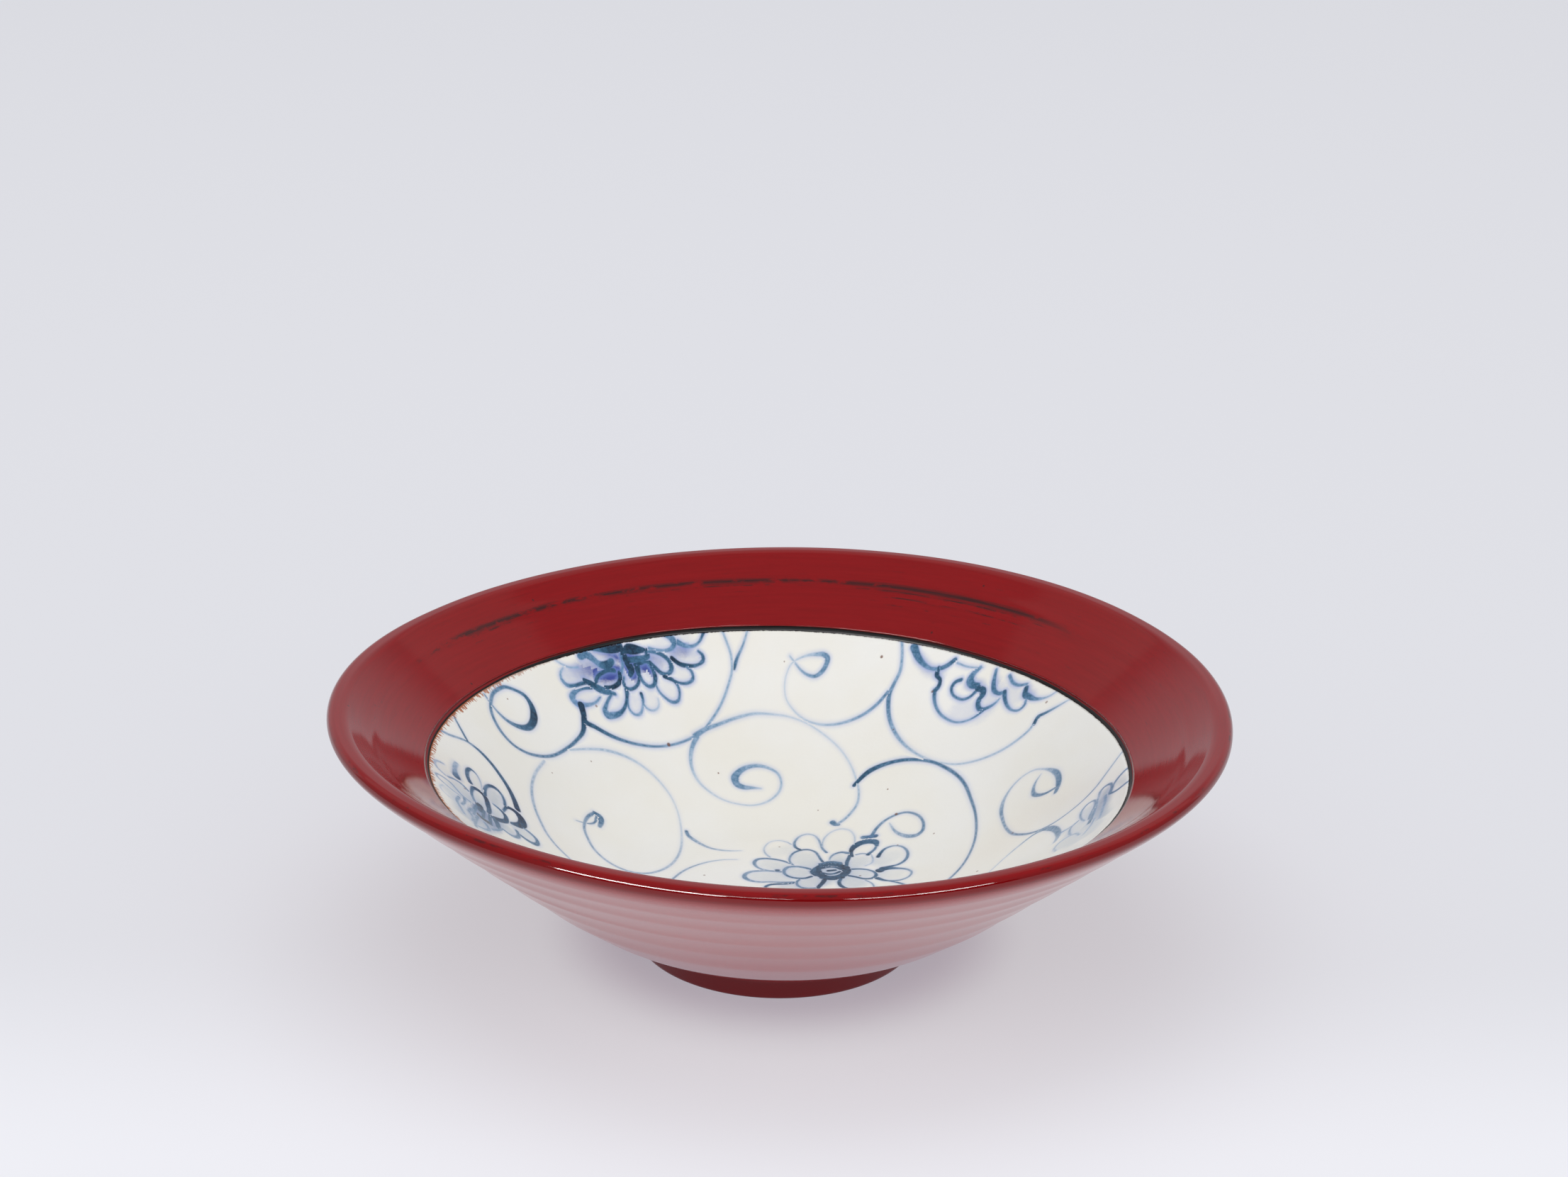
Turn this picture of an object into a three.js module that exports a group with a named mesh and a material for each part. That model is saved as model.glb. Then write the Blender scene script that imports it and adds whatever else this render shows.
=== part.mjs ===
// Lacquered pottery bowl: a thrown clay body with its foot turned from the same clay, a white glaze
// in the well, and black then red lacquer over the flare, the lip, the outside and the foot.
// Millimetres, +Z up. The origin is on the axis, on the surface that the bowl stands on.
import * as THREE from "three";

// Outside of the clay. The lacquer adds its thickness, so the finished bowl is 240 across and 66 high.
const rimRadius = 119.4;
const rimHeight = 65.4;
const lipRoundness = 1.4;
const lipTopWidth = 1.4;
const lipInnerRoundness = 3.4;
const lipRollDrop = 2.6;
const lipRollReach = 5.2;
const bellyCornerRadius = 57.6;
const bellyCornerHeight = 12.85;
const bellyReach = 18.1;

// Foot ring, turned when the clay is leather hard.
const footRadius = 40.1;
const footHeight = 5.4;
const footFlare = 0.6;
const footShoulderWidth = 3.4;
const footShoulderRise = 1.7;
const footRingWidth = 5.0;
const soleChamfer = 0.5;
const recessDepth = 5.5;
const recessDraft = 0.4;

// Inside of the clay: the wall is measured square to its outside, at the belly and at the well's
// edge, and the floor is measured above the foot recess.
const wallThickness = 5.25;
const wellEdgeThickness = 5.65;
const floorThickness = 6.0;
const floorRadius = 30;
const floorDish = 0.6;
const wellBendRadius = 69.9;
const wellEdgeRadius = 93.4;

// Throwing rings: crests left by the potter's fingers, wider apart towards the foot.
const ringCount = 6;
const firstRingInset = 5.2;
const ringPitch = 7.4;
const ringPitchGrowth = 0.85;
const ringDepth = 0.32;

// Ridge in the flare, where the red is worn through to a broken black line.
const flareRidgeInset = 10.8;
const flareRidgeWidth = 3.0;
const flareRidgeHeight = 0.3;

// Coats. The gap is the bond between one layer and the next.
const bondGap = 0.1;
const blackThickness = 0.2;
const redThickness = 0.2;
const glazeThickness = 0.4;
const blackLineWidth = 1.3;
const bareSoleHeight = 0.9;

// Steps that the curves are divided into.
const turnSteps = 40;
const rollSteps = 3;
const lipSteps = 3;
const bellySteps = 4;
const wellSteps = 6;

function point(radius, height) {
  return new THREE.Vector2(radius, height);
}

// The point where two straight lines meet, each given by a point and a direction.
function crossing(start, direction, otherStart, otherDirection) {
  const gap = otherStart.clone().sub(start);
  const along = gap.cross(otherDirection) / direction.cross(otherDirection);
  return start.clone().addScaledVector(direction, along);
}

// A line of points moved sideways by a distance, to the left of the way that it runs, with its
// stretches kept parallel to the old ones. A point on the axis stays on it.
function beside(line, distance) {
  return line.map((place, index) => {
    const before = line[Math.max(index - 1, 0)];
    const after = line[Math.min(index + 1, line.length - 1)];
    const arriving = place.clone().sub(before).normalize();
    const leaving = after.clone().sub(place).normalize();
    const first = index === 0 ? leaving : arriving;
    const last = index === line.length - 1 ? arriving : leaving;
    const square = point(-first.y - last.y, first.x + last.x).normalize();
    const mitre = square.dot(point(-first.y, first.x));
    const moved = place.clone().addScaledVector(square, distance / mitre);
    return place.x === 0 ? point(0, moved.y) : moved;
  });
}

// The point between two others where the radius (x) or the height (y) has a value.
function pointWhere(before, after, side, value) {
  const share = (value - before[side]) / (after[side] - before[side]);
  return before.clone().lerp(after, share);
}

// A line cut back at both ends: from startHeight as it first rises, to endRadius as it comes back in.
function cutBack(line, startHeight, endRadius) {
  const first = line.findIndex((place) => place.y > startHeight);
  const last = line.findLastIndex((place) => place.x > endRadius);
  const start = pointWhere(line[first - 1], line[first], "y", startHeight);
  const end = pointWhere(line[last], line[last + 1], "x", endRadius);
  return [start, ...line.slice(first, last + 1), end];
}

// A solid of revolution about the Z axis. The outline closes on itself or ends on the axis.
function turned(outline) {
  const geometry = new THREE.LatheGeometry(outline, turnSteps);
  geometry.rotateX(Math.PI / 2);
  return geometry;
}

// A thin coat over a line: its underside lies bondGap plus the depth of the coats under it away.
function coat(line, coatsUnder, thickness) {
  const inside = beside(line, -(coatsUnder + bondGap));
  const outside = beside(line, -(coatsUnder + bondGap + thickness));
  return turned([...outside, ...inside.reverse(), outside[0]]);
}

// Straight upper wall, from the corner that the belly rounds off to the corner that the lip's roll
// rounds off. The roll turns upright and ends in the circle that rounds the lip.
const lipCentre = point(rimRadius - lipRoundness, rimHeight - lipRoundness);
const bellyCorner = point(bellyCornerRadius, bellyCornerHeight);
const rollCorner = point(rimRadius, rimHeight - lipRollDrop);
const wallDirection = rollCorner.clone().sub(bellyCorner).normalize();
const outward = point(wallDirection.y, -wallDirection.x);
const rollStart = rollCorner.clone().addScaledVector(wallDirection, -lipRollReach);
const lipOutside = lipCentre.clone().add(point(lipRoundness, 0));
const rollCurve = new THREE.QuadraticBezierCurve(rollStart, rollCorner, lipOutside);

// Curved belly, from the shoulder of the foot to the straight wall, which it meets past the corner.
const footTop = point(footRadius + footFlare, footHeight);
const shoulder = point(footTop.x + footShoulderWidth, footHeight + footShoulderRise);
const belly = bellyCorner.clone().addScaledVector(wallDirection, bellyReach);
const bellyCurve = new THREE.QuadraticBezierCurve(shoulder, bellyCorner, belly);

// Straight wall of the well, from the belly up to its edge, and the bend down to the floor.
const floorHeight = recessDepth + floorThickness;
const wellWall = belly.clone().addScaledVector(outward, -wallThickness);
const underEdge = wellEdgeRadius + wellEdgeThickness * outward.x;
const wellEdge = outsideWall(underEdge).addScaledVector(outward, -wellEdgeThickness);
const wellDirection = wellEdge.clone().sub(wellWall).normalize();
const wellPoint = (radius) => {
  return wellWall.clone().addScaledVector(wellDirection, (radius - wellWall.x) / wellDirection.x);
};
const floorEdge = point(floorRadius, floorHeight + floorDish);
const floorDirection = floorEdge.clone().sub(point(0, floorHeight)).normalize();
const wellBend = wellPoint(wellBendRadius);
const wellControl = crossing(floorEdge, floorDirection, wellBend, wellDirection);
const wellCurve = new THREE.QuadraticBezierCurve(wellBend, wellControl, floorEdge);

// Flare, from the edge of the well to the wider curve on the inside of the lip.
const lipTop = point(lipCentre.x - lipTopWidth, rimHeight);
const lipInnerCentre = point(lipTop.x, rimHeight - lipInnerRoundness);
const fromEdge = lipInnerCentre.clone().sub(wellEdge);
const flareAngle = fromEdge.angle() + Math.asin(lipInnerRoundness / fromEdge.length());
const flareDirection = point(Math.cos(flareAngle), Math.sin(flareAngle));
const flareUp = point(-flareDirection.y, flareDirection.x);

function flarePoint(radius, rise) {
  const along = (radius - wellEdge.x) / flareDirection.x;
  return wellEdge.clone().addScaledVector(flareDirection, along).addScaledVector(flareUp, rise);
}

// The place on the straight upper wall at a radius.
function outsideWall(radius) {
  return bellyCorner.clone().addScaledVector(wallDirection, (radius - bellyCorner.x) / wallDirection.x);
}

// The place on the outside at a radius, on the curved belly or on the straight wall.
function outsidePoint(radius) {
  if (radius >= belly.x) {
    return outsideWall(radius);
  }
  const bend = shoulder.x - 2 * bellyCorner.x + belly.x;
  const rise = bellyCorner.x - shoulder.x;
  const share = (radius - shoulder.x) / (rise + Math.sqrt(rise * rise + bend * (radius - shoulder.x)));
  return bellyCurve.getPoint(share);
}

// Radius of a crest, counted down from the lip. Halves are the hollows between crests.
function ringRadius(count) {
  const inset = firstRingInset + ringPitch * count + (ringPitchGrowth * count * (count - 1)) / 2;
  return rimRadius - inset;
}

// The wall from the foot to the lip: crests on the wall's line and hollows cut below it.
function wallLine() {
  const lowestHollow = ringRadius(ringCount - 0.5);
  const wall = [];
  for (let step = 0; step < bellySteps; step += 1) {
    wall.push(outsidePoint(THREE.MathUtils.lerp(shoulder.x, lowestHollow, step / bellySteps)));
  }
  for (let ring = ringCount - 1; ring >= 0; ring -= 1) {
    const hollow = outsidePoint(ringRadius(ring + 0.5));
    wall.push(hollow.addScaledVector(outward, -ringDepth));
    wall.push(outsidePoint(ringRadius(ring)));
  }
  return wall;
}

// Points along a circle, from one angle to another, without the first.
function arcPoints(centre, radius, startAngle, endAngle) {
  return Array.from({ length: lipSteps }, (unused, step) => {
    const angle = THREE.MathUtils.lerp(startAngle, endAngle, (step + 1) / lipSteps);
    return centre.clone().add(point(Math.cos(angle), Math.sin(angle)).multiplyScalar(radius));
  });
}

// The lip, from the roll on its outside over the nearly flat top to the wider curve on its inside.
function lipLine() {
  return [
    ...rollCurve.getPoints(rollSteps),
    ...arcPoints(lipCentre, lipRoundness, 0, Math.PI / 2),
    lipTop,
    ...arcPoints(lipInnerCentre, lipInnerRoundness, Math.PI / 2, flareUp.angle()),
  ];
}

const flareRidge = rimRadius - flareRidgeInset;

// Everything that the lacquer covers, from the sole up, over the lip and down to the well.
const lacqueredLine = [
  point(footRadius - soleChamfer, 0),
  point(footRadius, soleChamfer),
  footTop,
  ...wallLine(),
  ...lipLine(),
  flarePoint(flareRidge + flareRidgeWidth / 2, 0),
  flarePoint(flareRidge, flareRidgeHeight),
  flarePoint(flareRidge - flareRidgeWidth / 2, 0),
  wellEdge,
];

const wellLine = [wellEdge, ...wellCurve.getPoints(wellSteps), point(0, floorHeight)];

const recessRadius = footRadius - footRingWidth;
const recessLine = [
  point(0, recessDepth),
  point(recessRadius - recessDraft, recessDepth),
  point(recessRadius, soleChamfer),
  point(recessRadius + soleChamfer, 0),
];

// Clay: from the axis along the foot recess, up the outside, over the lip and down the well.
function clayBody() {
  return turned([...recessLine, ...lacqueredLine, ...wellLine.slice(1)]);
}

// Glaze: a skin on the well that thins to its edge against the lacquer.
function wellGlaze() {
  const skin = [wellPoint(wellEdgeRadius - 2 * bondGap), ...wellLine.slice(1)];
  const inside = beside(skin, -bondGap);
  const outside = beside(skin, -(bondGap + glazeThickness));
  return turned([...inside.reverse(), ...outside]);
}

// Black lacquer in the foot recess, down the inside of the foot ring to just above the sole.
function footRecessLacquer() {
  const [centre, corner, ringFoot] = recessLine;
  const line = [centre, corner, pointWhere(corner, ringFoot, "y", bareSoleHeight)];
  const inside = beside(line, -bondGap);
  const outside = beside(line, -(bondGap + blackThickness));
  return turned([...outside, ...inside.reverse()]);
}

// The black goes right up to the glaze, and the red stops short of it and leaves a black line.
const blackLine = cutBack(lacqueredLine, bareSoleHeight, wellEdgeRadius + bondGap);
const redLine = cutBack(lacqueredLine, bareSoleHeight, wellEdgeRadius + blackLineWidth);

function piece(name, geometry, color, roughness) {
  const material = new THREE.MeshStandardMaterial({ color, roughness, metalness: 0 });
  const mesh = new THREE.Mesh(geometry, material);
  mesh.name = name;
  return mesh;
}

const bowl = new THREE.Group();
bowl.add(
  piece("clay_body", clayBody(), 0xa58a6e, 0.85),
  piece("well_glaze", wellGlaze(), 0xe8e7e2, 0.15),
  piece("black_undercoat", coat(blackLine, 0, blackThickness), 0x171314, 0.3),
  piece("red_topcoat", coat(redLine, bondGap + blackThickness, redThickness), 0x8c2226, 0.25),
  piece("foot_recess_lacquer", footRecessLacquer(), 0x171314, 0.35),
);

export default bowl;
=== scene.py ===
import math
import random
from types import SimpleNamespace

import bmesh
import bpy
import numpy as np
from bpy.props import FloatProperty, FloatVectorProperty, IntProperty, PointerProperty
from mathutils import Matrix, Vector


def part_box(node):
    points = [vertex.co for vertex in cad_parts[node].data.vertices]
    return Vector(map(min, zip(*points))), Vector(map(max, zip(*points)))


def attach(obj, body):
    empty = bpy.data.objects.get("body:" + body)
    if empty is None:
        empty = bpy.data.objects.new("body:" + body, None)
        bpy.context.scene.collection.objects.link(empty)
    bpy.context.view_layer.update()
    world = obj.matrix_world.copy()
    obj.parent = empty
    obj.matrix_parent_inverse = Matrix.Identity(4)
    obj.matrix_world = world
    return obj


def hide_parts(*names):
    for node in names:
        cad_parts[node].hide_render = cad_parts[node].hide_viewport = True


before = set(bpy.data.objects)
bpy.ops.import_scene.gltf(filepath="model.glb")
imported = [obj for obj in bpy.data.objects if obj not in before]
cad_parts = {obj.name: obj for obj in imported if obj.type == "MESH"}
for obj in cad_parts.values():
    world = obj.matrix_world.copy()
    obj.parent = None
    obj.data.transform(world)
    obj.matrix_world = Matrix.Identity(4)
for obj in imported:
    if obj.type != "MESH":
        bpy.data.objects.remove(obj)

bl_info = {
    "name": "Lacquered pottery bowl",
    "version": (1, 0, 0),
    "blender": (4, 5, 0),
    "location": "3D View > Sidebar > Bowl",
    "description": "Builds a thrown bowl with a painted, glazed well under red and black lacquer",
    "category": "Object",
}

MM = 0.001
NEARLY_ZERO = 1e-9
SAME_PLACE = 0.0002 * MM
FOOT_ROUNDNESS = 0.4 * MM
EDGE_GAP = 0.1 * MM
BOWL_MIDDLE = (0, 0, 0.03)
CLAY_LOW, CLAY_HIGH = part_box("clay_body")
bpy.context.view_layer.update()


# Settings that a user would change

def length(name, description, default):
    return FloatProperty(name=name, description=description, default=default, unit="LENGTH", precision=5)


def colour(name, description, default):
    return FloatVectorProperty(
        name=name, description=description, default=default, subtype="COLOR", size=3, min=0, max=1
    )


def count(name, description, default):
    return IntProperty(name=name, description=description, default=default, min=1)


def strength(name, description, default):
    return FloatProperty(name=name, description=description, default=default, min=0)


def from_screen(*channels):
    """A colour as a screen shows it, with red, green and blue from 0 to 255, made linear."""
    shares = [channel / 255 for channel in channels]
    return tuple(s / 12.92 if s <= 0.04045 else ((s + 0.055) / 1.055) ** 2.4 for s in shares)


def scaled(shade, *shares):
    """A colour times one number, or times a number each for red, green and blue."""
    return [channel * share for channel, share in zip(shade, shares * 3)]


class BowlForm(bpy.types.PropertyGroup):
    """Sizes of the clay under the coats."""

    rim_radius: length("Rim radius", "Outside of the lip", CLAY_HIGH.x)
    rim_height: length("Rim height", "Top of the lip above the table", CLAY_HIGH.z)
    lip_roundness: length("Lip roundness", "Radius on the outside of the lip", 1.4 * MM)
    lip_top_width: length("Lip top width", "Nearly flat top between both curves of the lip", 1.4 * MM)
    lip_inner_roundness: length("Lip inner roundness", "Radius on the inside of the lip", 3.4 * MM)
    roll_drop: length("Roll drop", "From the top down to where wall and upright lip would meet", 2.6 * MM)
    roll_reach: length("Roll reach", "How far down the wall the roll of the lip goes", 5.2 * MM)
    corner_radius: length("Belly corner radius", "Where belly and straight wall would meet", 57.6 * MM)
    corner_height: length("Belly corner height", "Height of that corner", 12.85 * MM)
    belly_reach: length("Belly reach", "How far up the wall the belly's curve goes", 18.1 * MM)
    foot_radius: length("Foot radius", "Outside of the foot ring at the table", 40.1 * MM)
    foot_height: length("Foot height", "Height of the foot ring", 5.4 * MM)
    foot_flare: length("Foot flare", "How much wider the foot ring is at its top", 0.6 * MM)
    shoulder_width: length("Shoulder width", "Ledge between the foot ring and the belly", 3.4 * MM)
    shoulder_rise: length("Shoulder rise", "Rise of that ledge", 1.7 * MM)
    foot_ring_width: length("Foot ring width", "Wall of the foot ring", 5.0 * MM)
    sole_chamfer: length("Sole chamfer", "Bevel on both edges of the sole", 0.5 * MM)
    recess_depth: length("Recess depth", "Depth of the recess inside the foot ring", 5.5 * MM)
    recess_draft: length("Recess draft", "Slope of the recess wall", 0.4 * MM)
    wall_thickness: length("Wall thickness", "At the belly, square to the outside", 5.25 * MM)
    edge_thickness: length("Edge thickness", "At the edge of the well, square to the outside", 5.65 * MM)
    floor_thickness: length("Floor thickness", "Clay above the foot recess", 6.0 * MM)
    floor_radius: length("Floor radius", "Nearly flat middle of the well", 30 * MM)
    floor_dish: length("Floor dish", "Rise of that floor to its edge", 0.6 * MM)
    bend_radius: length("Well bend radius", "Where the well's wall becomes straight", 69.9 * MM)
    edge_radius: length("Well edge radius", "Edge between the well and the flare", 93.4 * MM)
    ring_count: count("Throwing rings", "Crests that the potter's fingers left", 6)
    first_ring: length("First ring", "From the rim in to the first crest", 5.2 * MM)
    ring_pitch: length("Ring pitch", "From the first crest to the second", 7.4 * MM)
    ring_growth: length("Ring pitch growth", "Widening from one ring to the next", 0.85 * MM)
    ring_depth: length("Ring depth", "Depth of the hollows between crests", 0.17 * MM)
    ridge_inset: length("Flare ridge", "From the rim in to the low ridge in the flare", 10.8 * MM)
    ridge_width: length("Flare ridge width", "Foot to foot", 3.0 * MM)
    ridge_height: length("Flare ridge height", "Above the flare", 0.12 * MM)


class BowlHand(bpy.types.PropertyGroup):
    """How far the potter's hand left the bowl from true."""

    foot_shift: length("Foot shift", "Foot ring beside the axis", -1.4 * MM)
    middle_shift: length("Middle shift", "Belly beside the axis", -0.95 * MM)
    oval: length("Oval", "Rim wider from front to back than across", -0.3 * MM)
    lobes: length("Lobes", "Three soft lobes of the rim", -1.4 * MM)
    tilt: length("Tilt", "How much the rim falls away to the left and the back", 0.16 * MM)
    front_rise: length("Front rise", "How much the rim stands up at the front and the sides", 0.9 * MM)
    foot_forward: length("Foot forward", "Foot ring before the axis", -1.0 * MM)
    foot_squeeze: length("Foot squeeze", "Foot ring narrower across than from front to back", 2.5 * MM)
    ripple: length("Ripple", "Soft unevenness of every surface", 0.12 * MM)
    edge_wander: length("Edge wander", "Wander of the line between well and flare", 0.5 * MM)
    edge_lean: length("Edge lean", "That line out at the back left and in at the back right", 0.92 * MM)


class BowlCoats(bpy.types.PropertyGroup):
    """Glaze and lacquer."""

    bond_gap: length("Bond", "Gap between one layer and the next", 0.1 * MM)
    black_thickness: length("Black", "Thickness of the undercoat", 0.2 * MM)
    red_thickness: length("Red", "Thickness of the topcoat", 0.2 * MM)
    glaze_thickness: length("Glaze", "Thickness of the glaze", 0.4 * MM)
    black_line: length("Black line", "Undercoat left in view beside the well", 1.2 * MM)
    bare_sole: length("Bare sole", "Height above the table where the coats stop", 0.35 * MM)


class BowlColours(bpy.types.PropertyGroup):
    """Colours of the surfaces."""

    red: colour("Red lacquer", "Polished dark red", from_screen(144, 11, 16))
    black: colour("Black lacquer", "Undercoat and foot recess", from_screen(27, 25, 26))
    clay: colour("Clay", "Bare fired stoneware", from_screen(176, 148, 118))
    glaze: colour("Glaze", "Warm white", from_screen(247, 245, 240))
    bleed: colour("Bleed", "Violet blue halo of the cobalt", from_screen(132, 160, 222))
    iron: colour("Iron", "Brown specks and burnt edge", from_screen(120, 72, 42))


class BowlStage(bpy.types.PropertyGroup):
    """Floor, lamps and camera."""

    floor: colour("Floor", "Pale floor", from_screen(222, 222, 227))
    surround: strength("Surround", "Strength of the pale surround", 0.62)
    overhead: strength("Overhead lamp", "Watts of the large lamp above", 9.2)
    front: strength("Front lamp", "Watts of the large lamp beside the camera", 8.2)
    floor_glow: strength("Floor glow", "Light that the floor gives itself, which keeps its shadow pale", 0.64)
    softbox: strength("Softboxes", "Brightness of the cards that draw the highlight along the lip", 34.0)
    camera_distance: length("Camera distance", "Along the table from the axis", 1.0407)
    camera_height: length("Camera height", "Above the table", 0.5024)


# Node trees written as expressions

class Value:
    """A number or vector in a node tree. Arithmetic on it adds the nodes that work it out."""

    def __init__(self, board, socket):
        self.board = board
        self.socket = socket

    def math(self, operation, *others):
        return self.board.node("ShaderNodeMath", dict(enumerate((self, *others))), operation=operation)

    def __add__(self, other):
        return self.math("ADD", other)

    def __radd__(self, other):
        return self.math("ADD", other)

    def __sub__(self, other):
        return self.math("SUBTRACT", other)

    def __rsub__(self, other):
        return self.board.node("ShaderNodeMath", {0: other, 1: self}, operation="SUBTRACT")

    def __mul__(self, other):
        return self.math("MULTIPLY", other)

    def __rmul__(self, other):
        return self.math("MULTIPLY", other)

    def __truediv__(self, other):
        return self.math("DIVIDE", other)

    def __pow__(self, other):
        return self.math("POWER", other)

    def step(self, low, high, start=0.0, end=1.0):
        """Goes smoothly from start to end as this value goes from low to high."""
        values = {"Value": self, "From Min": low, "From Max": high, "To Min": start, "To Max": end}
        return self.board.node("ShaderNodeMapRange", values, interpolation_type="SMOOTHSTEP")

    def fade(self, low, high):
        """Goes smoothly from 1 to 0 as this value goes from low to high."""
        return self.step(low, high, 1, 0)

    def near(self, inner, outer):
        """1 within inner of zero, and smoothly down to 0 at outer."""
        return self.math("ABSOLUTE").fade(inner, outer)

    def parts(self):
        """The three numbers of a vector."""
        return self.board.node("ShaderNodeSeparateXYZ", {0: self}, ("X", "Y", "Z"))


class Board:
    """A node tree being filled, for a material or for geometry."""

    def __init__(self, tree):
        self.tree = tree

    def put(self, socket, value):
        """Links a value to a socket, or sets the socket. A colour can be given without its alpha."""
        if isinstance(value, Value):
            self.tree.links.new(value.socket, socket)
        elif socket.type == "RGBA":
            socket.default_value = (*value, 1.0)[:4]
        else:
            socket.default_value = value

    def node(self, kind, values=None, output=0, **settings):
        """Adds a node: its settings first, then its sockets. Returns one output, or several by name."""
        node = self.tree.nodes.new(kind)
        for name, setting in settings.items():
            setattr(node, name, setting)
        for key, value in (values or {}).items():
            self.put(node.inputs[key], value)
        if isinstance(output, tuple):
            return tuple(Value(self, node.outputs[name]) for name in output)
        return Value(self, node.outputs[output])

    def vector(self, x, y, z):
        return self.node("ShaderNodeCombineXYZ", {0: x, 1: y, 2: z})

    def mix(self, factor, first, second):
        """A colour between two others."""
        values = {0: factor, 6: first, 7: second}
        return self.node("ShaderNodeMix", values, 2, data_type="RGBA", clamp_factor=True)

    def noise(self, vector, scale, detail=2.0, roughness=0.5):
        """Soft noise from 0 to 1."""
        values = {"Vector": vector, "Scale": scale, "Detail": detail, "Roughness": roughness}
        return self.node("ShaderNodeTexNoise", values, noise_dimensions="3D")

    def ramp(self, factor, shades):
        """A colour that goes through evenly spaced shades as the factor goes from 0 to 1."""
        node = self.tree.nodes.new("ShaderNodeValToRGB")
        elements = node.color_ramp.elements
        while len(elements) < len(shades):
            elements.new(1.0)
        for index, shade in enumerate(shades):
            elements[index].position = index / (len(shades) - 1)
            elements[index].color = (*shade, 1.0)
        self.put(node.inputs[0], factor)
        return Value(self, node.outputs[0])

    def attribute(self, name, output="Fac"):
        return self.node("ShaderNodeAttribute", {}, output, attribute_name=name)

    def bump(self, height, distance, strength):
        return self.node("ShaderNodeBump", {"Strength": strength, "Distance": distance, "Height": height})


class Finish(Board):
    """A material with one Principled shader, and where each of its points is on the bowl."""

    def __init__(self, name):
        self.material = bpy.data.materials.new(name)
        self.material.use_nodes = True
        super().__init__(self.material.node_tree)
        self.shader = self.tree.nodes["Principled BSDF"]
        self.spot = self.node("ShaderNodeTexCoord", {}, "Object")
        self.across, self.away, self.height = self.spot.parts()
        self.radius = (self.across * self.across + self.away * self.away + NEARLY_ZERO) ** 0.5
        self.cosine = self.across / self.radius
        self.sine = self.away / self.radius

    def set(self, **sockets):
        """Sets or links the shader's sockets. Underscores in a name stand for spaces."""
        for name, value in sockets.items():
            self.put(self.shader.inputs[name.replace("_", " ")], value)

    def around(self, turns, lift, detail, roughness=0.5):
        """Noise that runs round the bowl. More turns make it finer, and lift changes it across the rings."""
        ring = self.vector(self.cosine * turns, self.sine * turns, lift)
        return self.noise(ring, 1.0, detail, roughness)

    def cells(self, scale):
        """Scattered points: the distance to the nearest one, and two random numbers that it has."""
        values = {"Vector": self.spot, "Scale": scale, "Randomness": 1.0}
        outputs = ("Distance", "Color")
        distance, chance = self.node("ShaderNodeTexVoronoi", values, outputs, voronoi_dimensions="2D")
        return distance, *chance.parts()[:2]


# Section of the bowl, as lines of points that hold a radius and a height

def bezier(start, control, end, steps):
    share = np.linspace(0, 1, steps + 1)[:, None]
    return (1 - share) ** 2 * start + 2 * share * (1 - share) * control + share ** 2 * end


def arc(centre, radius, start, end, steps):
    angle = np.linspace(start, end, steps + 1)
    return centre + radius * np.stack([np.cos(angle), np.sin(angle)], axis=1)


def straight(start, end, step):
    steps = max(1, round(float(np.linalg.norm(end - start)) / step))
    return start + np.linspace(0, 1, steps + 1)[:, None] * (end - start)


def crossing(start, direction, other, other_direction):
    """The point where two straight lines meet."""
    gap = other - start
    turn = direction[0] * other_direction[1] - direction[1] * other_direction[0]
    along = (gap[0] * other_direction[1] - gap[1] * other_direction[0]) / turn
    return start + along * direction


def unit(vectors):
    """A vector, or each row of several, with the length 1."""
    return vectors / np.linalg.norm(vectors, axis=-1, keepdims=True)


def to_left(ways):
    """Each row turned a quarter to the left."""
    return np.stack([-ways[:, 1], ways[:, 0]], axis=1)


def beside(line, distance):
    """A line moved sideways, to the left of the way that it runs. Points on the axis stay on it."""
    ways = unit(np.diff(line, axis=0))
    before = np.vstack([ways[:1], ways])
    after = np.vstack([ways, ways[-1:]])
    square = to_left(unit(before + after))
    mitre = np.sum(square * to_left(before), axis=1)
    moved = line + square * (distance / mitre)[:, None]
    moved[line[:, 0] == 0, 0] = 0
    return moved


def rounded(line, reach, steps=4):
    """A line with each inner corner cut into a curve that starts and ends at most reach from it."""
    def towards(corner, other):
        most = 0.45 * np.linalg.norm(other - corner)
        return corner + min(reach, most) * unit(other - corner)

    corners = zip(line, line[1:], line[2:])
    curves = [bezier(towards(at, before), at, towards(at, after), steps) for before, at, after in corners]
    return np.vstack([line[:1], *curves, line[-1:]])


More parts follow.
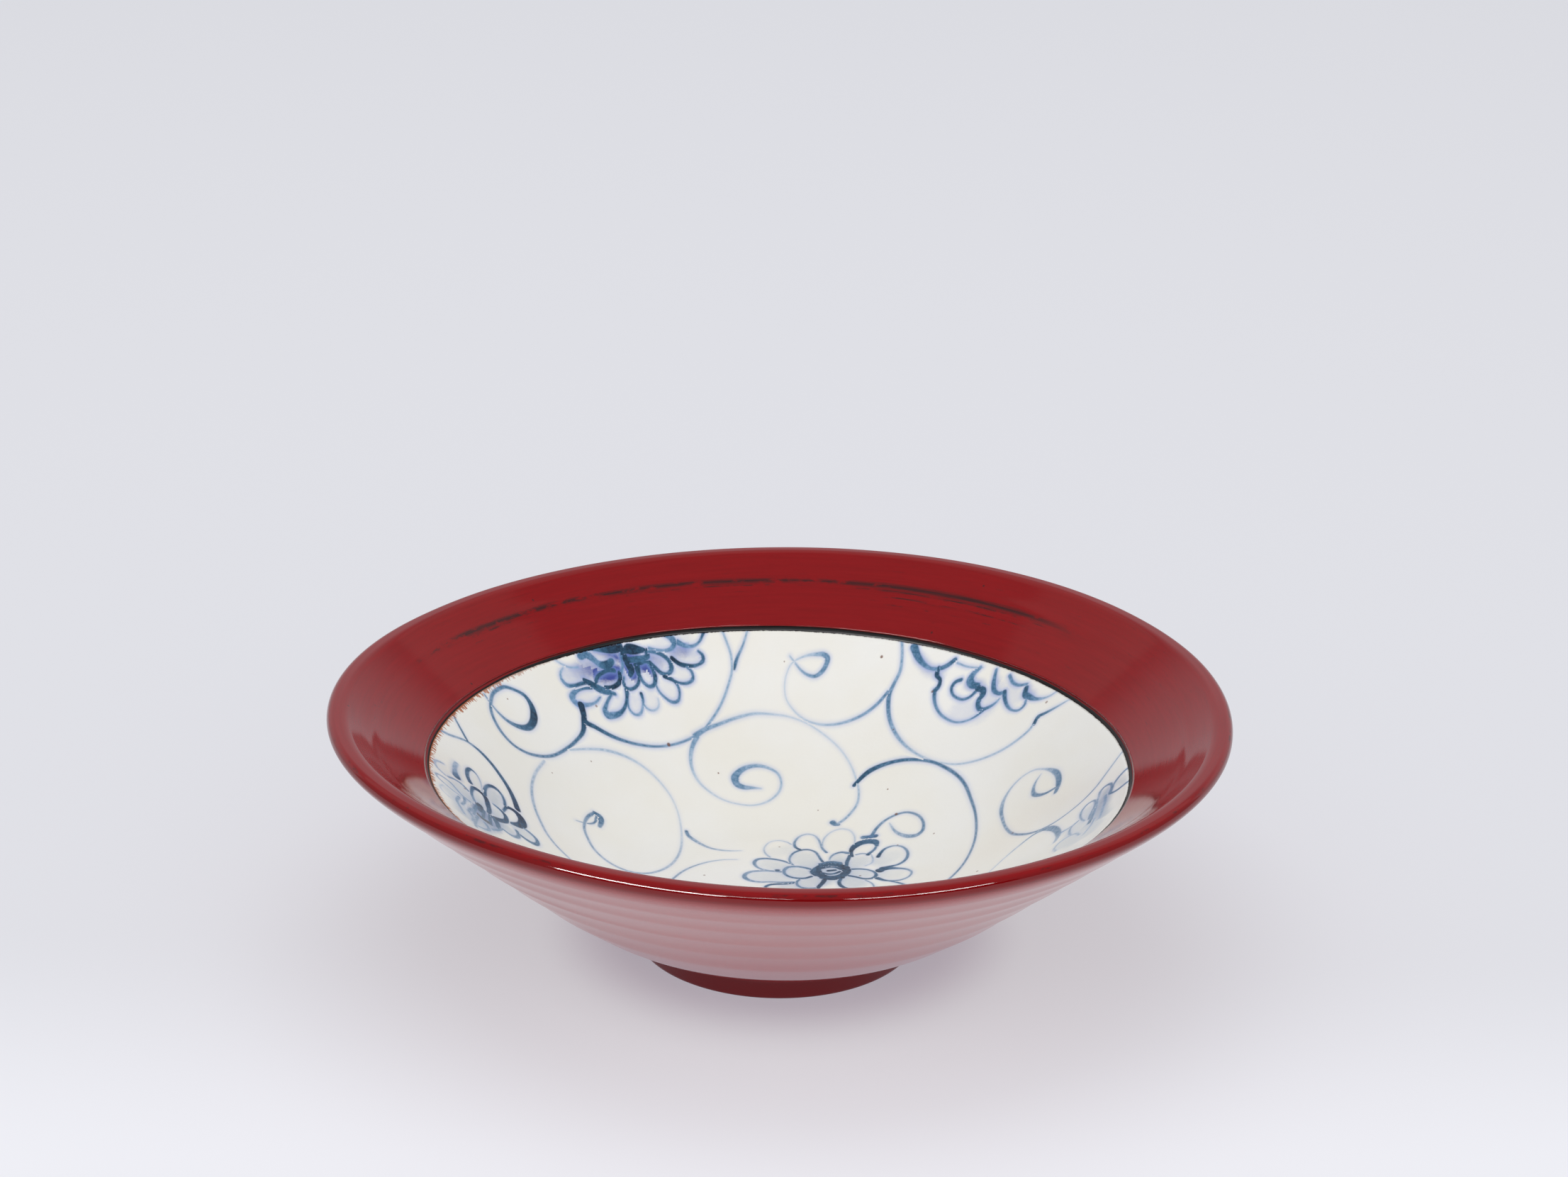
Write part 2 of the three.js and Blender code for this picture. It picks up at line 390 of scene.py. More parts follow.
class Section:
    """The bowl cut in half: the lines of its outside, lip, flare and well."""

    def __init__(self, form):
        self.form = form
        self.lip_centre = np.array([form.rim_radius, form.rim_height]) - form.lip_roundness
        self.lip_outside = self.lip_centre + np.array([form.lip_roundness, 0])
        self.corner = np.array([form.corner_radius, form.corner_height])
        self.roll_corner = np.array([form.rim_radius, form.rim_height - form.roll_drop])
        self.wall_way = unit(self.roll_corner - self.corner)
        self.outward = np.array([self.wall_way[1], -self.wall_way[0]])
        self.roll_start = self.roll_corner - form.roll_reach * self.wall_way
        self.belly = self.corner + form.belly_reach * self.wall_way
        self.foot_top = np.array([form.foot_radius + form.foot_flare, form.foot_height])
        self.shoulder = self.foot_top + np.array([form.shoulder_width, form.shoulder_rise])
        self.well_wall = self.belly - form.wall_thickness * self.outward
        under_edge = form.edge_radius + form.edge_thickness * self.outward[0]
        over_edge = self.corner + (under_edge - self.corner[0]) / self.wall_way[0] * self.wall_way
        self.edge = over_edge - form.edge_thickness * self.outward
        self.well_way = unit(self.edge - self.well_wall)
        self.lip_top = np.array([self.lip_centre[0] - form.lip_top_width, form.rim_height])
        self.inner_centre = self.lip_top - np.array([0, form.lip_inner_roundness])
        from_edge = self.inner_centre - self.edge
        lean = math.asin(form.lip_inner_roundness / np.linalg.norm(from_edge))
        flare_angle = math.atan2(from_edge[1], from_edge[0]) + lean
        self.flare_way = np.array([math.cos(flare_angle), math.sin(flare_angle)])
        self.flare_up = np.array([-self.flare_way[1], self.flare_way[0]])

    def on_well_wall(self, radius):
        return self.well_wall + (radius - self.well_wall[0]) / self.well_way[0] * self.well_way

    def crest(self, number):
        """Radius of a throwing ring's crest, counted down from the lip."""
        form = self.form
        widening = form.ring_growth * number * (number - 1) / 2
        return form.rim_radius - form.first_ring - form.ring_pitch * number - widening

    def outside(self, step):
        """From the shoulder of the foot up to the lip, with narrow crests and wide hollows."""
        belly_length, roll_length, softness = 40 * MM, 12 * MM, 0.05
        curve = bezier(self.shoulder, self.corner, self.belly, round(belly_length / step))
        line = np.vstack([curve, straight(self.belly, self.roll_start, step)[1:]])
        crests = [self.crest(number) for number in range(self.form.ring_count, -1, -1)]
        depth = np.zeros(len(line))
        for low, high in zip(crests, crests[1:]):
            share = np.clip((line[:, 0] - low) / (high - low), 0, 1)
            hollow = np.sqrt(np.sin(np.pi * share) ** 2 + softness) - math.sqrt(softness)
            depth += np.maximum(hollow, 0) * self.form.ring_depth
        roll = bezier(self.roll_start, self.roll_corner, self.lip_outside, round(roll_length / step))
        return np.vstack([line - depth[:, None] * self.outward, roll[1:]])

    def lip(self, steps):
        """Round the outside of the lip, over its top and down the wider curve of its inside."""
        outer = arc(self.lip_centre, self.form.lip_roundness, 0, math.pi / 2, steps)
        end = math.atan2(self.flare_up[1], self.flare_up[0])
        inner = arc(self.inner_centre, self.form.lip_inner_roundness, math.pi / 2, end, steps)
        return np.vstack([outer, inner])

    def flare(self, step):
        """From the lip down to the edge of the well, over a low rounded ridge."""
        start = self.inner_centre + self.form.lip_inner_roundness * self.flare_up
        line = straight(start, self.edge, step)
        off = (line[:, 0] - (self.form.rim_radius - self.form.ridge_inset)) / (self.form.ridge_width / 2)
        rise = self.form.ridge_height * np.exp(-1.5 * off ** 2)
        return line + rise[:, None] * self.flare_up

    def well(self, step):
        """From the edge of the well down its wall and across its floor to the axis."""
        form = self.form
        bend_length = 50 * MM
        floor = form.recess_depth + form.floor_thickness
        middle = np.array([0.0, floor])
        floor_edge = np.array([form.floor_radius, floor + form.floor_dish])
        bend = self.on_well_wall(form.bend_radius)
        control = crossing(floor_edge, unit(floor_edge - middle), bend, self.well_way)
        curve = bezier(bend, control, floor_edge, round(bend_length / step))
        wall = straight(self.edge, bend, step)
        return np.vstack([wall, curve[1:], straight(floor_edge, middle, step)[1:]])

    def recess(self):
        """From the axis across the foot recess and down to the sole."""
        form = self.form
        inside = form.foot_radius - form.foot_ring_width
        return np.array([
            (0, form.recess_depth),
            (inside - form.recess_draft, form.recess_depth),
            (inside, form.sole_chamfer),
            (inside + form.sole_chamfer, 0),
        ])

    def foot(self):
        """From the sole up the foot ring to its shoulder."""
        form = self.form
        return np.array([
            (form.foot_radius - form.sole_chamfer, 0),
            (form.foot_radius, form.sole_chamfer),
            self.foot_top,
            self.shoulder,
        ])

    def lacquered(self, step, lip_steps):
        """Everything that the lacquer covers, from the sole up, over the lip and down to the well."""
        wall = self.outside(step)
        foot = rounded(np.vstack([self.foot()[:-1], wall[:3]]), FOOT_ROUNDNESS)[:-2]
        return np.vstack([foot, wall[2:], self.lip(lip_steps)[1:], self.flare(step)[1:]])


def cut_back(line, start_height, end_radius):
    """A line cut short: from start_height as it first rises, to end_radius as it comes back in."""
    first = int(np.argmax(line[:, 1] > start_height))
    last = len(line) - 1 - int(np.argmax(line[::-1, 0] > end_radius))
    rise = (start_height - line[first - 1, 1]) / (line[first, 1] - line[first - 1, 1])
    start = line[first - 1] + rise * (line[first] - line[first - 1])
    reach = (end_radius - line[last, 0]) / (line[last + 1, 0] - line[last, 0])
    end = line[last] + reach * (line[last + 1] - line[last])
    return np.vstack([start, line[first:last + 1], end])


# Turning a section into a bowl with Geometry Nodes

HAND_SETTINGS = tuple(BowlHand.__annotations__)


def new_geometry_tree(name, inputs):
    """A geometry tree with the inputs that the hand's settings need and those given. Returns its board
    and its inputs by name."""
    tree = bpy.data.node_groups.new(name, "GeometryNodeTree")
    tree.interface.new_socket("Geometry", in_out="OUTPUT", socket_type="NodeSocketGeometry")
    kinds = {"geometry": "Geometry", **inputs, "material": "Material"}
    kinds.update(dict.fromkeys((*HAND_SETTINGS, "rim_height", "well_edge"), "Float"))
    for label, kind in kinds.items():
        tree.interface.new_socket(label, in_out="INPUT", socket_type="NodeSocket" + kind)
    board = Board(tree)
    values = board.node("NodeGroupInput", {}, tuple(kinds))
    return board, SimpleNamespace(**dict(zip(kinds, values)))


def by_hand(board, given, radius, cosine, sine, height):
    """The place of a point after the potter's hand: soft lobes, a shifted foot and small ripples."""
    share = height / given.rim_height
    three_lobes = cosine * (4 * cosine * cosine - 3)
    two_lobes = 2 * cosine * cosine - 1
    near_edge = (radius - given.well_edge).near(0, 6 * MM)
    around = board.vector(cosine * 3.1, sine * 3.1, 0.0)
    lean = given.edge_lean * sine * (0.35 - 2 * cosine)
    wander = ((board.noise(around, 1.0, 3.0) - 0.5) * given.edge_wander + lean) * near_edge
    spot = board.vector(radius * cosine, radius * sine, height)
    ripple = (board.noise(spot, 22.0, 1.0) - 0.5) * given.ripple
    lobes = share * (given.oval * two_lobes + given.lobes * three_lobes)
    outer = radius + (lobes + wander + ripple) * (radius / 0.02).math("MINIMUM", 1.0)
    low = (1 - share) * (1 - 2 * share)
    right = given.foot_shift * low + given.middle_shift * 4 * share * (1 - share)
    away = given.foot_forward * low
    narrow = given.foot_squeeze * share.fade(0.06, 0.16) * (radius / 0.04)
    corners = 4 * sine * sine * cosine * cosine
    front = given.front_rise * sine.fade(-0.1, 0.6) * (1 + 0.65 * corners)
    rise = front - given.tilt * (sine * 0.5 - cosine)
    lift = share * (radius / 0.12) * rise + ripple + wander * 0.8
    return board.vector((outer - narrow) * cosine + right, outer * sine + away, height + lift)


def finish_tree(board, geometry, place, material):
    """Moves the points, makes the shading smooth, and gives all of it the material."""
    moved = board.node("GeometryNodeSetPosition", {"Geometry": geometry, "Position": place})
    closed = board.node("GeometryNodeMergeByDistance", {"Geometry": moved, "Distance": SAME_PLACE})
    smooth = board.node("GeometryNodeSetShadeSmooth", {"Geometry": closed})
    realized = board.node("GeometryNodeRealizeInstances", {"Geometry": smooth})
    dressed = board.node("GeometryNodeSetMaterial", {"Geometry": realized, "Material": material})
    board.node("NodeGroupOutput", {"Geometry": dressed}, ())
    return board.tree


def wheel_tree():
    """Turns a line of points about the axis, and stores how far along the line each point lies."""
    board, given = new_geometry_tree("Turned on the wheel", {"turn_steps": "Int"})
    line = given.geometry
    points = board.node("GeometryNodeAttributeDomainSize", {"Geometry": line}, component="MESH")
    size = {"Size X": 1.0, "Size Y": 1.0, "Vertices X": given.turn_steps + 1, "Vertices Y": points}
    grid, plan = board.node("GeometryNodeMeshGrid", size, ("Mesh", "UV Map"))
    index = board.node("GeometryNodeInputIndex")
    row = index.math("MODULO", points)
    angle = (index / points).math("FLOOR") * (2 * math.pi) / given.turn_steps

    def from_line(value, kind):
        values = {0: line, 1: value, 2: row}
        return board.node("GeometryNodeSampleIndex", values, data_type=kind, domain="POINT")

    def stored(geometry, name, value, kind, domain):
        values = {"Geometry": geometry, "Name": name, "Value": value}
        return board.node("GeometryNodeStoreNamedAttribute", values, data_type=kind, domain=domain)

    position = board.node("GeometryNodeInputPosition")
    radius, height = from_line(position, "FLOAT_VECTOR").parts()[::2]
    along = board.node("GeometryNodeInputNamedAttribute", {"Name": "along"}, data_type="FLOAT")
    marked = stored(grid, "along", from_line(along, "FLOAT"), "FLOAT", "POINT")
    unwrapped = stored(marked, "OFBake", plan, "FLOAT2", "CORNER")
    place = by_hand(board, given, radius, angle.math("COSINE"), angle.math("SINE"), height)
    return finish_tree(board, unwrapped, place, given.material)


def hand_tree():
    """Gives a piece that is already round the same hand-made unevenness."""
    board, given = new_geometry_tree("Left by the hand", {})
    x, y, height = board.node("GeometryNodeInputPosition").parts()
    radius = (x * x + y * y) ** 0.5
    safe = radius.math("MAXIMUM", 1e-6)
    place = by_hand(board, given, radius, x / safe, y / safe, height)
    return finish_tree(board, given.geometry, place, given.material)


def settings():
    return bpy.context.scene.lacquered_bowl


def apply_tree(piece, tree, **inputs):
    """Runs a geometry tree on a piece with its inputs set, and keeps the result as a plain mesh."""
    hand, form = settings().hand, settings().form
    values = {name: getattr(hand, name) for name in HAND_SETTINGS}
    values.update(rim_height=form.rim_height, well_edge=form.edge_radius, **inputs)
    modifier = piece.modifiers.new(tree.name, "NODES")
    modifier.node_group = tree
    for item in tree.interface.items_tree:
        if item.name in values:
            modifier[item.identifier] = values[item.name]
    graph = bpy.context.evaluated_depsgraph_get()
    applied = piece.evaluated_get(graph)
    mesh = bpy.data.meshes.new_from_object(applied, preserve_all_data_layers=True, depsgraph=graph)
    piece.modifiers.clear()
    piece.data = mesh
    mesh.name = piece.name


def face_outwards(mesh):
    work = bmesh.new()
    work.from_mesh(mesh)
    bmesh.ops.recalc_face_normals(work, faces=work.faces)
    work.to_mesh(mesh)
    work.free()


def new_object(name, data):
    """An object in the scene, at the origin."""
    thing = bpy.data.objects.new(name, data)
    bpy.context.scene.collection.objects.link(thing)
    return thing


def dress(piece, node):
    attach(piece, "root")
    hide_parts(node)


def store(mesh, name, kind, domain, values):
    """Keeps values as an attribute of a mesh, one for each of its points or of its faces' corners."""
    field = "vector" if kind == "FLOAT_VECTOR" else "value"
    mesh.attributes.new(name, kind, domain).data.foreach_set(field, values.astype(np.float32).ravel())


def turned(name, line, along, material, turn_steps=240):
    """A closed section turned into a piece of the bowl. Along is kept for each point of the line."""
    mesh = bpy.data.meshes.new(name)
    points = [(radius, 0.0, height) for radius, height in line]
    edges = [(index, index + 1) for index in range(len(points) - 1)]
    mesh.from_pydata(points, edges, [])
    store(mesh, "along", "FLOAT", "POINT", along)
    piece = new_object(name, mesh)
    apply_tree(piece, wheel_tree(), turn_steps=turn_steps, material=material)
    face_outwards(piece.data)
    return piece


def way_along(line):
    """Length along a line to each of its points."""
    return np.concatenate([[0.0], np.cumsum(np.linalg.norm(np.diff(line, axis=0), axis=1))])


def coat(name, line, back, material):
    """A thin closed coat. Along is 0 on top of the lip, positive down the flare, negative outside."""
    loop = np.vstack([line, back[::-1], line[:1]])
    along = way_along(line)
    along -= along[int(np.argmax(line[:, 1]))]
    back_along = np.interp(way_along(back) / way_along(back)[-1], [0, 1], along[[0, -1]])
    return turned(name, loop, np.concatenate([along, back_along[::-1], along[:1]]), material)


# The painting: strokes of cobalt, each with its points, its widths and its tones, in millimetres.
# Widths and tones are spread evenly over the points of their stroke. Tone 0 is water, 1 is full colour.

# No stroke is wider than this to either side, with its bleed
FARTHEST_PAINT = 5

# Places in the well, and how far to the right of them and beyond them the painting lies there
PINS = [
    (-56, 57, 0, -.5), (-85, 20, -1, -.4), (-50, 25, -1.2, -1.4), (-35, 72, -.5, -1), (-8, 57, -.8, -.7),
    (-3, 84, -.8, -.2), (35, 60, -.4, .1), (52, 69, -.4, -1.1), (15, 14, -1.5, -.8), (50, 27, -1.4, -.3),
    (72, 18, -1.8, -1.7), (-78, -3, -1.15, -.3), (49, 47, 0, .6), (85, -12, -2.4, .4),
]
PIN_REACH = 10

VINES = [
    # Stem from the left flower: node, then right over the back
    ([(-57.2, 59.2), (-56.4, 57), (-56, 55.4), (-53, 55.2), (-48, 55.2), (-44, 55.8), (-40, 56.8),
      (-35, 58.5), (-30, 61), (-25.5, 64), (-22.3, 66.8), (-20, 70), (-17.6, 74), (-15.6, 79),
      (-14.6, 83), (-15, 86.5), (-16.5, 90), (-18.3, 93.5)], (2, 1.4, .9, .7, .8, .8, .8, .8),
      (1, .85, .6, .5, .45, .35, .3, .28)),
    ([(-14.1, 83.4), (-13.2, 86), (-11.8, 89), (-10.2, 94)], (1.2, .8, .6), (.75, .5, .3)),
    # Curl at the far left
    ([(-56.2, 56), (-56.3, 52), (-58, 48), (-60.5, 43.5), (-63.5, 39), (-67, 35.8), (-70.5, 33.8),
      (-73.5, 33.3), (-76.5, 34.5), (-78.7, 36.8), (-80.2, 40), (-80.5, 43), (-80.3, 46), (-79.3, 48.5),
      (-77.5, 51), (-75, 52), (-72.3, 52.2), (-70.8, 51), (-69.6, 48.5), (-69.5, 45.5), (-70.6, 42.7),
      (-73.3, 40.8), (-76, 40.3), (-78.5, 41), (-80.5, 42.3),
      (-82.4, 43.9)], (1.7, .9, .9, .9, 1, 1.1, .9, 1, 1.1, 1, 1.3, 2.1, 1.8, 1.2, .7, .6),
      (.95, .7, .6, .6, .55, .55, .6, .55, .6, .6, .75, 1, .75, .6, .45, .5)),
    # Stems at the left edge
    ([(-93.2, 16.8), (-90, 18), (-87.5, 19.8), (-85.5, 21), (-82.5, 21.2), (-79, 19.8), (-76, 17.3),
      (-73.5, 14.3), (-71.8, 11), (-70.7, 7.8)], (1.2, .9, .8, 1.2, 1.3, 1.5, 1.8),
      (.45, .4, .5, .78, .8, .9, 1)),
    ([(-91, 30), (-88.3, 26), (-86.8, 23.8), (-85.1, 21.3)], (.6, .7, .8), (.55, .65, .75)),
    # Great pale curl at the left
    ([(-44, -14), (-50, -7), (-56.5, 0), (-60, 3), (-62.5, 6), (-64.5, 10), (-66.5, 15), (-67.6, 20),
      (-67.8, 24), (-67.2, 29), (-65.3, 35.5)], (.8, .9, 1, .8), (.3, .34, .32, .22)),
    ([(-59.3, 44.3), (-55, 47.5), (-50, 50.2), (-46, 51.3), (-42, 51.5), (-38, 50.6), (-34, 48.2),
      (-31, 45), (-29, 41), (-27.7, 36), (-27, 30), (-27, 24), (-27.8, 19), (-29.5, 14), (-32, 10.3),
      (-35.5, 7.5), (-39, 6.5), (-43, 7), (-47, 9), (-50, 12), (-52, 16), (-53.2, 20), (-53.1, 23.3),
      (-52.1, 26.5), (-50.7, 28.5)], (.7, .9, .7, .5, .8, 1, 1, .9, .9, 1.2),
      (.16, .24, .12, .08, .2, .3, .34, .34, .4, .6)),
    ([(-50.9, 28.6), (-49.4, 28.2), (-48.9, 26), (-49.2, 24)], (1.1, 1.9, 1.2), (.65, .62, .5)),
    ([(-50.3, 27.3), (-50.4, 25.2), (-51.4, 23.5), (-53.4, 22.3), (-55.6, 21.4)], (.9, .6, .4),
      (.6, .55, .3)),
    # Curl in the middle of the back
    ([(-24.1, 64.8), (-25.3, 62), (-25.8, 59), (-25.3, 55.5), (-23.3, 52), (-20, 49.3), (-16, 47.3),
      (-12, 46.5), (-8, 46.5), (-5, 47.5), (-2, 49.8), (-.3, 52.5), (0, 55), (-1, 57.5), (-3.5, 59),
      (-6.5, 59.5), (-9.5, 58.8), (-12, 57), (-13.1, 55), (-12.4, 53.2), (-10.5, 52.5), (-8, 52.6),
      (-5.6, 52.6)], (1.5, 1.2, .8, .6, .6, .7, .7, .9, 1.3, 2.3, 1.6, .4),
      (.45, .32, .16, .13, .16, .25, .3, .32, .45, .55, .5, .25)),
    ([(-24.8, 64.6), (-22, 66.9), (-18, 69), (-13, 71.3), (-8, 72.8), (-3, 73), (2, 72.5), (7, 70.8),
      (12, 67.5), (16, 63.5), (19, 58.5), (20.7, 53.5), (21.5, 49), (21, 45), (19.3, 42), (17.5, 39.8),
      (15.7, 38.3)], (1.6, 1, .8, .5, .5, .5, .7, .9, 1), (.5, .38, .25, .13, .12, .12, .25, .33, .4)),
    ([(14.6, 39.3), (15.4, 38.4), (16.2, 38.2)], (1.8, 1.2), (.62, .5)),
    # Loop at the back edge
    ([(1.9, 87.6), (3.5, 85.8), (5, 84.2), (7, 82.9), (9.2, 82.5), (11, 83.5), (12.3, 85.3),
      (12.7, 86.9), (11.7, 87.8), (9.5, 88), (7, 87.8), (4.5, 87), (2.5, 85.8), (1, 83), (.5, 80),
      (1, 77), (3, 74.3), (6, 72), (10, 70.5), (14.5, 69.9), (19, 70.2), (23, 71.2), (26.5, 73),
      (29.6, 75.6)], (.5, .8, 1.3, 1.5, .7, .4, .4, .6, .9, 1),
      (.25, .4, .52, .55, .2, .13, .13, .25, .4, .55)),
    # Long vine on the right of the back
    ([(33.5, 90), (33.5, 83.5), (33, 80.5), (31.3, 77.5), (30, 75), (29.6, 71.5), (30, 68), (31.5, 64),
      (34, 60), (37, 56.5), (40.5, 53), (44, 50), (48, 47.3), (52, 45.6), (56, 44.5), (61, 44),
      (65, 44.5), (68.5, 45.8), (70.2, 47.4)], (.9, 1, 1.3, 1.1, .7, .6, .7, .9, .8),
      (.36, .4, .6, .45, .28, .18, .25, .27, .4)),
    ([(69.7, 46.8), (70.9, 48.5), (72.5, 48.3), (75.5, 48.1), (80, 48)], (1.2, 1, .5), (.8, .7, .22)),
    # Strong vine on the right of the floor
    ([(20.2, 51.7), (21.8, 53.3), (24, 54.9), (27, 55.8), (30, 56), (34, 55.5), (38, 54), (42, 51.3),
      (45, 48), (48, 44), (50.5, 39.5), (52.5, 34.5), (53.8, 29), (54.2, 23), (53.8, 17), (52, 10),
      (49.5, 4.5), (46.5, .3), (41.5, -5), (35.5, -9.5)], (1.1, 1.5, 1.1, .9, .9, .9, .8, .8, .9, .9),
      (.85, .8, .7, .62, .65, .58, .55, .5, .5, .45)),
    # Curl at the right of the floor
    ([(95, 13), (90.3, 7), (88, 3.7), (85.5, .3), (82, -2.2), (78, -3), (74.5, -2.5), (71.5, -.8),
      (69, 1.5), (66, 5.3), (63.7, 9), (62.2, 13.5), (61.3, 18.5), (61, 23), (61.8, 26.5), (64, 29.5),
      (67, 31), (70, 30.8), (72.5, 29), (74.7, 26.3), (76, 23.5), (76.4, 20), (76, 17),
      (75.3, 15)], (.6, .7, .8, .7, .8, .8, .9, .9, 1.3, .8, .5, .7, 1.6, 1.7, 1.2),
      (.32, .36, .4, .42, .5, .5, .45, .4, .42, .25, .2, .22, .5, .58, .5)),
    ([(75.4, 17.2), (73, 17.8), (71.2, 19.1), (69.8, 21.3), (69.8, 23.8), (70.6, 26),
      (71.9, 27.5)], (.9, 1, 1.3, .9, .4), (.55, .55, .55, .4, .2)),
    ([(52, -12), (57.5, -6.2), (61, -3), (65, -.8), (69, -.1), (71.7, -1.6), (73.5, -4.5), (74.7, -8),
      (75.2, -12), (75, -15), (74, -17.6)], (.4, .6, 1, 1.9, 1.8, 1.1), (.15, .2, .4, .55, .52, .3)),
    # Small bud's curl beside the middle flower
    ([(25.6, 31.6), (26.8, 34.5), (28.8, 36.8), (31.5, 38), (34.5, 38), (37, 36.5), (39, 34),
      (39.8, 31), (39.4, 28.8), (38, 27.7), (36, 28), (33.7, 29.5), (31.8, 31.8), (30.8, 34),
      (30.2, 35.5)], (1.2, .9, .7, .8, 1.2, 1.6, .9, .4), (.6, .5, .5, .5, .5, .42, .38, .2)),
    # Two loose strokes on the floor
    ([(-25.9, 32.8), (-25.3, 31), (-23.5, 29), (-21.3, 27), (-18.5, 25), (-15.5, 24), (-13, 23.8),
      (-10.3, 24)], (1, 1.3, 1, .9, .5), (.65, .38, .32, .3, .15)),
    ([(-31, -3), (-30.4, .5), (-29.3, 3.5), (-28, 6.5), (-26.5, 9.5), (-24.5, 12.3), (-22, 14.7),
      (-19, 16.7), (-15.5, 18), (-11.3, 18.4)], (.7, .8, .8, .7, .4), (.38, .42, .4, .35, .2)),
]

